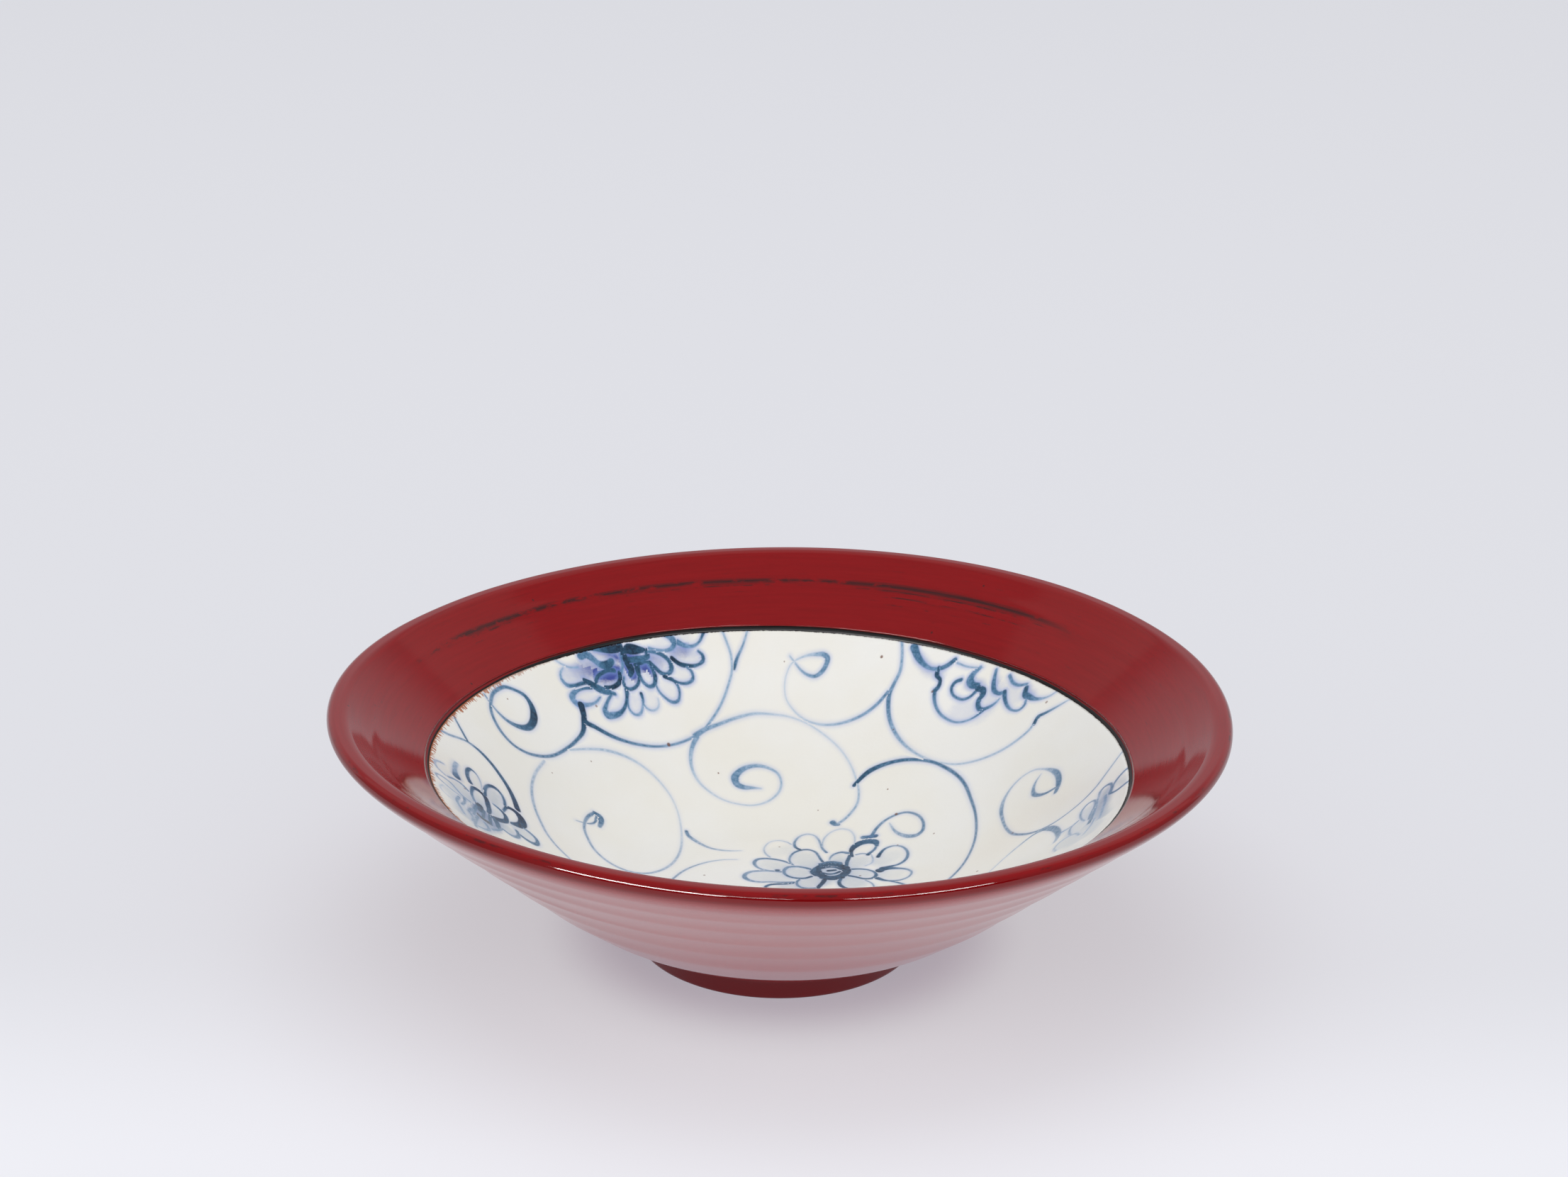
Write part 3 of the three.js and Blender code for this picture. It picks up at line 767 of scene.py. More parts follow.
PETALS = [
    # Flower at the left of the back, cut by the edge of the well
    ([(-66, 68.5), (-63.5, 68), (-61, 68.2), (-58.5, 69.5)], (.5, .6, .6), (.2, .3, .35)),
    ([(-55.3, 67), (-57.5, 65.3), (-59.5, 63.6), (-61.2, 62.8), (-62.8, 63.5), (-63.3, 65.2),
      (-62.5, 67.3)], (1, 1, 1.2, .8, .5), (.9, .7, .55, .4, .25)),
    ([(-52, 64.4), (-53, 62.5), (-54.5, 61), (-56.5, 59.7), (-58.5, 59), (-59.7, 59.8), (-59.5, 61.3),
      (-58.2, 63), (-56.5, 64.5), (-54.5, 65.6)], (.6, .8, 1.7, 1.8, .8, .7), (.5, .45, .5, .5, .6, .8)),
    ([(-48.5, 67.3), (-49.6, 65), (-50.3, 62.8), (-50.5, 61), (-49.8, 60.3), (-48.4, 61), (-46.5, 62.4),
      (-45.1, 64.5), (-44.4, 67), (-44.6, 69.5), (-45.5, 72)], (.8, .9, 1.8, 1.9, 1, .9, .9),
      (.6, .6, .55, .55, .75, .8, .75)),
    ([(-56.6, 66.8), (-54.8, 66.7), (-52.2, 66.5), (-49.8, 66.9),
      (-47.8, 67.3)], (1.2, 1.9, 2.2, 1.9, 1), (.9, .85, .7, .65, .6)),
    ([(-53.5, 67), (-53, 69.5), (-51.5, 71.5), (-49.8, 73), (-48.3, 73.6)], (1, 1, 1.3), (.85, .8, .8)),
    ([(-50.6, 67.8), (-49, 68.5), (-47.5, 69.8), (-46.4, 71.6), (-46.6, 73.6)], (1.1, 1.2, 1.3),
      (.85, 1, .9)),
    ([(-58, 72.9), (-56.4, 74.4), (-54.6, 74), (-52, 73.4), (-50, 74.4),
      (-49, 75.8)], (2, 2.4, 1.8, 2.4, 1.8), (.6, .62, .5, .85, .7)),
    ([(-47.2, 81.5), (-45.7, 79), (-44.5, 77.3), (-43.3, 75.8), (-43.6, 74.3)], (1.8, 1.9, 2.2, 1.2),
      (.85, .95, 1, .8)),
    ([(-41.5, 78), (-41, 75), (-41.3, 72.8), (-42.5, 71.2), (-44, 70.4), (-45.4, 71),
      (-45.4, 73)], (1, .9, 1, .8), (.85, .75, .7, .6)),
    ([(-44.3, 69.6), (-44.2, 67), (-43.5, 65), (-42, 64.3), (-40.5, 65), (-39.8, 67), (-39.8, 69.4),
      (-40.3, 70.6)], (1.2, .7, .8, .7, 1), (.75, .5, .42, .45, .85)),
    ([(-40, 69), (-39.1, 67.7), (-37.5, 67.3), (-36, 68), (-35.2, 69.5), (-35.5, 71)], (.7, .5),
      (.45, .12)),
    ([(-42.1, 77.5), (-41, 75.2), (-39.8, 73.9), (-38, 73.4), (-36.8, 74.2), (-36.5, 76), (-37.2, 78),
      (-38.6, 79.2)], (1.6, 1, 1, 1.3, .8), (.9, .65, .65, .85, .6)),
    ([(-36.6, 75.2), (-35.5, 73.3), (-33.5, 72), (-31.5, 71.5), (-29.9, 72.2), (-29.5, 74), (-30, 76),
      (-31.5, 77.2), (-33.8, 77.4)], (.6, .7, .9, .7, .8, 1.1), (.5, .55, .6, .6, .7, .95)),
    ([(-41.5, 78.3), (-39.2, 79.8), (-37, 79), (-34.5, 78), (-32.7, 78.6), (-32, 80), (-32.6, 81.6),
      (-34.3, 82.6), (-37, 82.8), (-39.5, 82.2)], (1.5, 1.3, 1, 1.4, 1.2, .9), (.8, .8, .65, .72, .7, .5)),
    ([(-34, 77.4), (-32, 77.2), (-29.5, 77), (-27.2, 77.6), (-25.8, 79), (-26.3, 80.7),
      (-28, 81.7)], (1, .8, .9, .7), (.95, .65, .6, .65)),
    ([(-32, 82.7), (-30, 81.9), (-27, 82), (-24.5, 82.8), (-23, 84.2), (-23.2, 85.3),
      (-24.5, 86.2)], (1.2, 1.2, .8, 1.1, .7), (1, .9, .7, .75, .6)),
    ([(-30.5, 87.2), (-28, 86.8), (-25.5, 87.5), (-24, 89), (-23.3, 90.7),
      (-23, 91.3)], (1.6, 1, .7, .8, 1), (.6, .5, .55, .7, 1)),
    ([(-38.5, 83.3), (-36, 83.6), (-33.5, 84.3), (-31.9, 85.5), (-31.5, 87), (-32.7, 88),
      (-34.5, 88.6)], (.9, .9, 1.2, 1.9, 1.9), (.5, .45, .5, .6, .55)),
    ([(-45.8, 80), (-44.2, 81.1), (-42.4, 81.7), (-40, 82.4)], (1.6, 3, 2.6, 1.2), (.95, 1, 1, .85)),
    ([(-39.4, 82.6), (-38.9, 81.2), (-40.4, 79.9), (-43, 78.8), (-44.6, 78)], (1.2, 1.5, 2, 1.6),
      (.85, .7, .72, .9)),
    ([(-57.6, 75), (-55, 76.5), (-52, 77.8), (-49.5, 78.9), (-47, 80.3)], (.8, 1.3, 2.2, 2.2),
      (.4, .6, .95, 1)),
    ([(-46.6, 79), (-45.8, 76.4), (-46.2, 73.6)], (.7, .8), (.6, .5)),
    # Flower at the right of the back, cut by the edge of the well
    ([(37, 86), (38, 83.2), (39.5, 80.9), (41.5, 79.1), (43.8, 78.3), (46, 78.4),
      (48.4, 79.3)], (2.4, 1.7, 1, 1.3, 1.3), (.65, .62, .5, .62, .7)),
    ([(43.8, 78.4), (43.2, 76.8), (44.2, 75), (43.7, 73.3), (42.6, 72.4)], (1.4, 1, 1.4), (.8, .88, .7)),
    ([(42.6, 72.6), (42.5, 70), (43, 67.5), (44.2, 65), (46, 62.8), (48.5, 60.7), (51, 59.8),
      (53.5, 59.8), (56, 60.6)], (1.2, .9, .8, .7, .7, .8), (.72, .55, .5, .42, .42, .7)),
    ([(50, 73), (48.5, 73), (47.4, 72), (47.5, 70), (48.8, 68.2), (50.5, 67), (52.3, 66.9), (54, 67.8),
      (54.8, 68.6)], (1.1, 1, .8, .8, .9, 1.4), (.7, .7, .6, .6, .65, .75)),
    ([(54.5, 68.4), (56.1, 67), (56, 65.8), (54.8, 64.8), (54.5, 63), (55.2, 61.3), (57, 60.8),
      (59, 61), (60.6, 61.9)], (1.7, 1.7, 1.4, 1.4, 1, .6), (.8, .78, .7, .7, .6, .3)),
    ([(55.4, 74.2), (53.4, 73.2), (52.5, 71.8), (53, 70.2), (54.5, 69.2)], (1.2, 2.2, 1.8),
      (.45, .62, .7)),
    ([(59.8, 71.4), (59.2, 69), (58.9, 67), (59.2, 65), (60.3, 63.6),
      (61.8, 63)], (.9, 1.2, 1.4, 1.1, 1.3), (.5, .65, .68, .6, .7)),
    ([(61.8, 63.2), (61.9, 60.5), (62.5, 57.8), (63.8, 55.5), (65.5, 54.4), (67, 54.9),
      (67.6, 56.5)], (1.4, 1, .7, .8, .8), (.75, .65, .5, .55, .5)),
    ([(63.4, 67.5), (64.3, 64.6), (65.7, 62.9), (68, 61.7)], (1, .9), (.55, .5)),
    ([(67.8, 60.6), (67.4, 58.6), (68.6, 56.8), (70, 55.2), (71.8, 54), (74, 53.3),
      (77, 53.6)], (1.4, 1.9, 1.2, .7, .5), (.78, .7, .55, .35, .2)),
    ([(49, 78.2), (52, 75.9), (56, 73.9)], (.6, .5), (.4, .3)),
    # Flower in the middle of the floor
    ([(-2.2, 20.2), (-3.5, 22.5), (-4, 25), (-3.5, 27.8), (-2.2, 30), (0, 30.7), (2, 30),
      (3.6, 28.4)], (.7, .6, .5, .6), (.34, .2, .16, .3)),
    ([(6.3, 24.9), (4.9, 26.5), (4.4, 28.5), (4.7, 31), (5.8, 33.3), (7.7, 34.4), (9.7, 33.7),
      (10.9, 31.8), (11.7, 29), (12.3, 26), (13.4, 23.6)], (1, .9, .8, .6, .5, .7, .8, .9),
      (.9, .7, .5, .35, .3, .4, .48, .6)),
    ([(12.2, 27), (12.2, 30), (13, 33), (14.7, 35.3), (17, 36.2), (19.3, 35.3), (20.7, 33), (21.1, 30),
      (20.9, 27.5)], (.7, .5, .5, .6), (.35, .16, .14, .25)),
    ([(20.4, 21.3), (20.1, 23.8), (20.8, 26.6), (22.5, 28.6), (24.8, 29.1), (26.8, 28.2),
      (27.1, 26.5)], (1.1, 1.2, 2.2, 2.4, 2.2, 1), (.9, 1, .85, .75, .75, .7)),
    ([(27.1, 27), (26.6, 25), (25.2, 22.9), (24.8, 22.3)], (.8, .9, 1.5), (.6, .6, .85)),
    ([(21.5, 22.2), (23, 22.9), (24.5, 22.6)], (.6, .6), (.5, .45)),
    ([(23.3, 31.3), (24.8, 31.2), (26.6, 31.2)], (1.6, 1.5), (.55, .8)),
    ([(4.3, 15.5), (3.3, 18), (3.5, 21), (4.7, 23.6), (6.5, 25), (8.5, 25.2), (10.2, 24), (11.2, 21.5),
      (12, 18.8), (13, 16.5)], (.7, .7, .9, .8, .8, .9), (.48, .52, .72, .65, .62, .85)),
    ([(14.2, 18.5), (14.6, 20.8), (16, 23), (17.8, 23.8), (19.3, 23.3)], (.6, .8, 1.5), (.3, .55, .65)),
    ([(19.9, 22), (19.5, 20), (19, 17.5), (18.8, 15.2)], (1.1, 1.2), (.8, .8)),
    ([(25.6, 22), (26.1, 19.5), (25.7, 17), (24, 15.3)], (.6, .5), (.28, .2)),
    ([(27.5, 20.6), (28.2, 22.6), (29.3, 24.4), (31.3, 25.2), (33.5, 24.4), (35, 22.3), (35.5, 19.5),
      (34.8, 17), (33, 15.2), (30.8, 14.4), (28.6, 13.6)], (1.1, .9, .6, .8, 1, .9, 1.8),
      (1, .7, .4, .5, .6, .6, .85)),
    ([(27.8, 12.2), (29, 13.2), (30.5, 13.4), (32.5, 13), (35, 11.8), (36.4, 9.7), (35.8, 7.5),
      (33.7, 5.9), (31, 5.6), (28.8, 6.2), (27.2, 7.4)], (2.4, 1.8, .9, .7, .7, .9, 1.6),
      (.9, .8, .55, .42, .45, .6, .85)),
    ([(3.5, 16.5), (1.5, 18), (-1, 19), (-3.5, 19.4), (-5.7, 18.7), (-6.5, 16.8), (-6, 14.6),
      (-4.5, 12.8), (-2.5, 12)], (.8, .9, 1, 1.2, .9, .8), (.55, .6, .6, .55, .42, .4)),
    ([(9.7, 12.8), (7.5, 14), (5, 14.7), (3, 14.3), (1.9, 12.5), (1.9, 10.5), (3, 8.7), (5, 7.6),
      (7.5, 7.5), (9.3, 8.6)], (.9, 1, 1.2, .9, .9, 1), (.75, .5, .48, .6, .72, .85)),
    ([(1, 11.3), (-1.5, 11.7), (-4.5, 11.7), (-7.3, 11), (-8.9, 9.3), (-8.9, 7.2), (-7.3, 5.5),
      (-5, 4.8), (-2, 5), (1, 4.9), (4.6, 5)], (.8, .8, 1.2, 1.5, 1, .8, .9),
      (.6, .45, .42, .5, .4, .42, .65)),
    ([(-.3, 12.3), (.3, 12.3)], (.9, .9), (.9, .9)),
    ([(4.8, 4.6), (2.5, 4), (0, 3.8), (-1.8, 3.4), (-3, 2.3), (-3.2, .5), (-2.3, -1.3),
      (0, -2)], (.8, 1, 1, .8), (.75, .8, .72, .4)),
    ([(6.2, 7), (5.3, 5), (5.6, 3), (6.8, 1.6), (8.6, 1.1), (10.4, 1.3)], (.8, .9), (.6, .55)),
    ([(13, 7), (12.3, 4.5), (11.4, 2.5), (10.8, .5)], (1.4, 1.2), (1, .9)),
    ([(17.3, 7.2), (16.8, 4.8), (17.4, 2.5), (19, 1), (21.5, .2), (24, .2), (26, 1.3), (25.7, 4),
      (24, 6.2)], (1, 1.2, .8, .7, .6), (.75, .9, .6, .4, .4)),
    ([(19.3, 9.2), (21.5, 8.2), (23.7, 7.1), (25.5, 7.3), (26.8, 9), (26.6, 11), (25, 12.6),
      (22.8, 13.3), (20.3, 13.2)], (.9, .9, 1.1, .8, .9), (.85, .72, .75, .62, .7)),
    ([(28.5, 6.3), (31, 5.3), (33.3, 3.7), (35, 1.7), (35.2, -.8), (33.5, -2.6), (31, -3),
      (28.4, -1.6)], (.9, .8, .8, .7), (.75, .55, .45, .5)),
    ([(11.3, 10.6), (10.8, 12.8), (12, 15), (14.3, 16.2), (16.8, 15.8), (18.5, 14), (18.8, 11.6),
      (17.8, 9.4), (15.6, 8), (13.2, 8.2), (11.5, 9.8)], (2.5, 2.1, 2.8, 2.3, 2.6),
      (.95, .85, 1, .85, .95)),
    ([(13.9, 12.2), (15.8, 12.6)], (1.1, 1), (1, .95)),
    ([(10.6, 9.6), (9.8, 11.4), (10.7, 13.4)], (1.7, 2.2), (.9, .8)),
    ([(17.5, 15.2), (18.9, 13.4), (19.1, 10.9)], (1.8, 1.6), (.8, .9)),
    ([(11.8, 16.2), (14.5, 17.5), (17, 16.8)], (1.5, 1.9), (.75, .7)),
    ([(12.3, 8), (15, 7.2), (17.5, 8.1)], (1.9, 1.9), (.9, .95)),
    ([(12.4, 10.7), (13.8, 10.1), (15.6, 10.4), (17, 11.6)], (1.1, .8, 1), (.9, .8, .9)),
    ([(12.3, 13.9), (14, 14.6), (16, 14.3), (17.4, 13.2)], (1.2, .9, 1.1), (.95, .8, .9)),
    ([(-2.6, -2.6), (-4.2, -5), (-3.4, -8), (0, -9.4), (4, -8), (6.4, -4), (7.2, -1)], (.9, .8), (.6, .4)),
    ([(8, -1.6), (6.2, -5), (7.4, -9.5), (11, -11), (14.4, -9), (15.3, -5), (14.4, -1.6)], (.8, 1),
      (.5, .6)),
    ([(15.8, -1.4), (17, -6), (20.2, -9.4), (24, -9), (25.4, -5.6), (24, -2.4)], (.8, .9), (.6, .4)),
    # Flower at the left of the floor
    ([(-79.7, 1.8), (-79.9, 4), (-80.3, 6), (-81, 8), (-82.2, 9.5), (-83.4, 9.7), (-84, 8.5),
      (-84.1, 6.2), (-83.6, 4), (-82.9, 2.5)], (.5, .5, .6, 1.1, 1.2, 1.4), (.35, .25, .4, .85, .7, .85)),
    ([(-79, 2), (-79.2, 5), (-78.8, 7.5), (-78, 9), (-76.7, 9.8), (-75.2, 9), (-74.2, 7),
      (-73.8, 4.5)], (1.2, 1, 1.3, .9, 1), (.8, .65, .9, .65, .7)),
    ([(-74, .8), (-73.7, 2.8), (-73.3, 4.5), (-72, 5.5), (-70.5, 5.4), (-69.3, 4), (-69, 2), (-69.5, 0),
      (-70.5, -1.5), (-71.8, -2.9)], (.8, .9, 1.3, 2.4, 2.5, 2, 1), (.7, .85, 1, 1, 1, .95, .85)),
    ([(-81, -7), (-82, -4), (-82.2, -1), (-81.8, 1), (-80.5, 1.6), (-79.2, 1.2), (-78.3, -.5),
      (-77.8, -3), (-77.3, -5.5), (-77.3, -7.6)], (.9, 1, 1.5, 1.5, 1.6, 1.2),
      (.55, .65, .95, .95, .9, .8)),
    ([(-76.5, .3), (-75, .2), (-73.6, -.6), (-73, -2.2), (-73, -4), (-74, -6),
      (-75.3, -7.7)], (.8, 1.3, 1.5, 1.9), (.55, .9, .9, 1)),
    ([(-69, .1), (-67, 0), (-65.3, -.8), (-64.6, -2.8), (-65.2, -4.8), (-67, -5.8),
      (-69.5, -5.9)], (1.1, 1.2, 1.4, 1.3), (.5, .6, .7, .7)),
    ([(-70, -5), (-69.4, -7.3), (-69.8, -9.5), (-71.3, -11.3), (-73.4, -11.5)], (1.2, 1.2), (.6, .5)),
    ([(-87, 7), (-87.2, 4), (-86.8, 1.5), (-86.3, -.2)], (1.4, 1.4, 2.4), (.3, .4, .75)),
    ([(-90, 1.2), (-91.6, 0), (-92, -2), (-91, -4), (-89, -4.8)], (.9, .9), (.28, .28)),
    ([(-88.2, -4.5), (-87, -3.2), (-85, -2.4), (-83, -3.4)], (.9, 1), (.42, .5)),
    ([(-82, -9.8), (-84, -9.7), (-85.7, -8.4), (-87.5, -7.1), (-89.5, -7.3), (-91, -8.4), (-90.6, -10),
      (-88, -11.1), (-84.6, -11.3)], (.8, .9, .8, .8), (.45, .38, .35, .35)),
    ([(-79.8, -7.3), (-79.4, -9), (-79, -10.8)], (2.2, 2), (1, .8)),
    ([(-79.6, -14.8), (-78.2, -15.6), (-76.6, -15)], (1.6, 1.9), (1, 1)),
    ([(-75.8, -8.3), (-74.7, -11), (-74.3, -13.4)], (2.2, 1.4), (.85, .7)),
    ([(-84.7, -12.6), (-84.9, -17), (-83.6, -21), (-82.4, -24.5)], (1, 1), (.45, .35)),
    ([(-81.2, -14.5), (-81.6, -18), (-80.4, -21), (-80, -26)], (1.1, 1.1), (.5, .4)),
    ([(-77.5, -18), (-76.2, -21), (-77, -25), (-78.8, -27.5)], (1.1, 1), (.5, .4)),
    ([(-83.5, -10.2), (-83.2, -13.5), (-83.6, -17)], (.9, .9), (.55, .4)),
    ([(-80.2, -9), (-80.6, -13), (-80.4, -18)], (1.2, 1), (.75, .5)),
    ([(-78.6, -8.5), (-78.4, -12), (-78.2, -15.4)], (1.1, 1), (.8, .7)),
    ([(-76.9, -8.5), (-76.6, -12), (-76.2, -14.8)], (1.1, 1.1), (.75, .75)),
    ([(-73.6, -11.8), (-74.2, -15), (-75.5, -19)], (1, .9), (.55, .4)),
    ([(-79.5, -17), (-79.6, -21), (-79.4, -26), (-78.8, -31)], (1.1, 1), (.55, .4)),
    ([(-88.8, -13), (-89.4, -15.5), (-88.5, -18), (-86.8, -18.9)], (.6, .6), (.16, .16)),
    # Flower at the right of the floor, cut by the edge of the well
    ([(95, -1.5), (91.6, -3.8), (89.9, -6.3), (89, -9), (88.8, -11), (90, -12),
      (93, -11.6)], (1, .9, 1.1, 1.3), (.5, .5, .62, .5)),
    ([(86.2, -6.2), (86.8, -4.4), (88, -3.6), (89.2, -4.6), (89.5, -7), (88.8, -10)], (.8, 1, 1.1),
      (.4, .52, .55)),
    ([(81.7, -18), (81.1, -14.5), (81.1, -11), (81.8, -8.3), (83.2, -6.9), (84.6, -7.5), (85, -10),
      (84.4, -13), (83.4, -16), (82.8, -19)], (.6, .8, .8, .9, 1), (.35, .42, .4, .45, .5)),
    ([(85.2, -12), (84.2, -16), (83.2, -20), (82.6, -22.8)], (.9, 1.1, 1.4), (.35, .5, .65)),
    ([(77.8, -22), (77.8, -18), (78.5, -15.3), (80.4, -14.2)], (.8, .8), (.35, .4)),
    ([(87.6, -10), (87.2, -14), (86.2, -19), (85, -25)], (.9, .8), (.42, .35)),
    ([(86.2, -6.5), (85.6, -9), (85.2, -12)], (.7, .8), (.35, .4)),
    ([(84, -22), (82.4, -27), (80.4, -31)], (.8, .7), (.35, .25)),
    ([(76, -13.6), (78, -14.6), (80.4, -14)], (.9, .6), (.4, .3)),
    ([(73.6, -28), (73.6, -23.5), (75, -21.4), (77, -21.5), (78.8, -23.5), (79.6, -28)], (.8, .8),
      (.28, .28)),
]

WASHES = [
    # Left of the back
    ([(-61, 66), (-58.5, 68), (-55.5, 70.6)], (3.6, 4.4), (.3, .7)),
    ([(-53, 70.6), (-50, 71.9), (-47.3, 73.6)], (4.2, 3.8), (.9, 1)),
    ([(-57, 70.6), (-54.6, 71.8), (-52, 72.4)], (3, 3.2), (.5, .6)),
    ([(-54, 76), (-51, 77), (-47.8, 77.6)], (1.8, 2.8), (.5, .8)),
    ([(-46.4, 77.8), (-44.4, 76.6), (-43.2, 75)], (3, 3.8), (.8, .95)),
    ([(-57.5, 61.5), (-54.5, 63.5)], (3, 3), (.14, .14)),
    ([(-48, 62.5), (-46, 66)], (3.2, 3.2), (.14, .16)),
    ([(-42, 66.3), (-42, 68.5)], (2.6, 2.6), (.16, .22)),
    ([(-37.4, 69), (-38, 72)], (3.6, 3.6), (.1, .14)),
    ([(-33.2, 74.4), (-31.5, 73.5)], (4.2, 4), (.12, .12)),
    ([(-29.6, 79.8), (-28, 79)], (3.2, 3.2), (.12, .12)),
    ([(-38.5, 75.2), (-38.7, 77.5)], (2.4, 2.6), (.14, .45)),
    ([(-28, 89), (-30.5, 88.8)], (3, 3), (.16, .16)),
    ([(-36, 85.6), (-33.5, 86)], (3, 3), (.14, .14)),
    ([(-43.5, 78.3), (-40.5, 78.6), (-38.3, 77.8)], (4, 3.6), (1, .85)),
    ([(-38.5, 81), (-35.5, 80.8)], (3.2, 3.4), (.6, .5)),
    ([(-31.5, 84.8), (-28.3, 85.8), (-25.8, 85.2)], (3.4, 4, 3), (.55, .62, .3)),
    ([(-46, 74), (-44, 72.5)], (2.4, 2.6), (.6, .35)),
    # Right of the back
    ([(38.5, 82.5), (41, 79), (44, 77)], (2.4, 2.8), (.45, .4)),
    ([(52.5, 71), (55, 68.7)], (2.6, 2.6), (.5, .5)),
    ([(59.5, 67.5), (60, 64.5)], (2.2, 2.2), (.45, .4)),
    ([(50, 63.5), (55, 61), (59, 64)], (7.5, 7), (.16, .2)),
    ([(67.8, 59.5), (69, 57)], (2.2, 2), (.55, .45)),
    ([(63.5, 63.5), (65, 59)], (4, 4), (.18, .16)),
    # Middle flower
    ([(7, 20), (8.5, 17), (11, 14.5)], (7.5, 6.5), (.24, .4)),
    ([(-2.5, 15.8), (3, 13)], (5.5, 5.5), (.22, .34)),
    ([(-5, 8.3), (1, 8.3), (6, 10.5)], (6, 6.5), (.22, .34)),
    ([(3, 2), (8, 4), (12, 6)], (6, 6.5), (.3, .42)),
    ([(21, 4.5), (18, 7)], (6.5, 6), (.34, .4)),
    ([(23.5, 10.3), (20, 10.5)], (5, 5.5), (.32, .42)),
    ([(22.8, 18.5), (20.5, 15.5)], (5.5, 5), (.3, .38)),
    ([(31, 20), (28, 18)], (6, 6), (.16, .26)),
    ([(31.5, 9.5), (29, 10)], (5.5, 5.5), (.14, .24)),
    ([(16.8, 21), (16.8, 18)], (3.6, 4), (.28, .45)),
    ([(0, 23.5), (2.5, 25)], (6, 5), (.12, .16)),
    ([(12, 12), (15, 13.2), (17.2, 11)], (8.4, 9.2), (.5, .46)),
    # Left of the floor
    ([(-76.5, 6), (-76.5, 2)], (4, 3.6), (.36, .4)),
    ([(-80.2, -2), (-79.5, -6)], (3, 3.2), (.24, .5)),
    ([(-75, -2.5), (-76, -5.5)], (3, 3.2), (.3, .4)),
    ([(-67.5, -2.8), (-70, -4)], (4.4, 4), (.26, .32)),
    ([(-72, -8.5), (-75, -9.5)], (4.4, 4.4), (.4, .6)),
    ([(-85, -6), (-82, -8)], (5.4, 4), (.34, .5)),
    ([(-87, -9), (-83, -10.5)], (3.2, 3.4), (.36, .5)),
    ([(-86.8, 6), (-86.4, 0)], (2.2, 2.6), (.22, .5)),
    ([(-90, -1.5), (-88, -3)], (3.6, 3.4), (.12, .18)),
    ([(-79.5, -10), (-78, -14), (-79, -19), (-78.5, -26)], (5, 8, 9, 6), (.8, .7, .58, .42)),
    ([(-86.5, -14), (-84, -18), (-82, -25)], (5, 5.5), (.36, .45)),
    ([(-82, 7), (-81.8, 3.5)], (3, 2.6), (.14, .16)),
    # Right of the floor
    ([(88, -7), (87, -12), (85.5, -18), (85.3, -25)], (2.8, 4, 4.5), (.5, .62, .6, .5)),
    ([(83, -11), (82.6, -17)], (3.2, 3), (.3, .36)),
    ([(82, -24), (83, -30), (81, -34)], (5, 5), (.35, .3)),
    ([(76.5, -14.5), (78.5, -17)], (3, 3), (.2, .2)),
    ([(80, -18), (77, -25), (80, -32)], (6, 8), (.26, .3)),
    ([(91.5, -7), (92, -9.5)], (2.6, 2.6), (.3, .3)),
]


def chrysanthemum(centre, radius, turn, seed):
    """A painted flower: two rings of looped petals round a dark middle. Returns its petals and washes."""
    dice = random.Random(seed)
    petals, washes = [], []

    def place(far, angle):
        return centre[0] + far * math.cos(angle), centre[1] + far * math.sin(angle)

    for reach, number, start in ((1.0, 10, 0.4), (0.66, 8, 0.26)):
        for petal in range(number):
            middle = math.radians(turn + 360 * (petal + dice.uniform(-0.22, 0.22)) / number + 15 * reach)
            half = math.pi / number * dice.uniform(0.72, 1.0)
            tip = radius * reach * dice.uniform(0.84, 1.06)
            base = radius * start
            deep = tip - base
            shape = [(base, -.6), (base + .35 * deep, -.95), (base + .75 * deep, -.9), (tip * .985, -.35),
                     (tip, .15), (tip * .95, .62), (base + .6 * deep, .95), (base + .3 * deep, .7)]
            points = [place(far, middle + half * side) for far, side in shape[:dice.choice((6, 7, 8))]]
            dark, pale, width = dice.uniform(.5, .8), dice.uniform(.3, .5), dice.uniform(.7, 1)
            widths = (width * 1.3, width, width * dice.uniform(.8, 1.6), width)
            petals.append((points, widths, (dark, pale, dark * .8)))
            wide = 1.2 * tip * half * .8
            ends = [place(base + 1, middle), place(tip * .8, middle)]
            washes.append((ends, (wide * .9, wide), (.42, dice.uniform(.12, .24))))
    eye = [(centre[0] + radius * .17 * math.cos(angle), centre[1] + radius * .15 * math.sin(angle))
           for angle in np.linspace(turn, turn + 5.8, 8)]
    petals.append((eye, (2.2, 1.5, 2.6), (.8, .6, .9)))
    return petals, washes


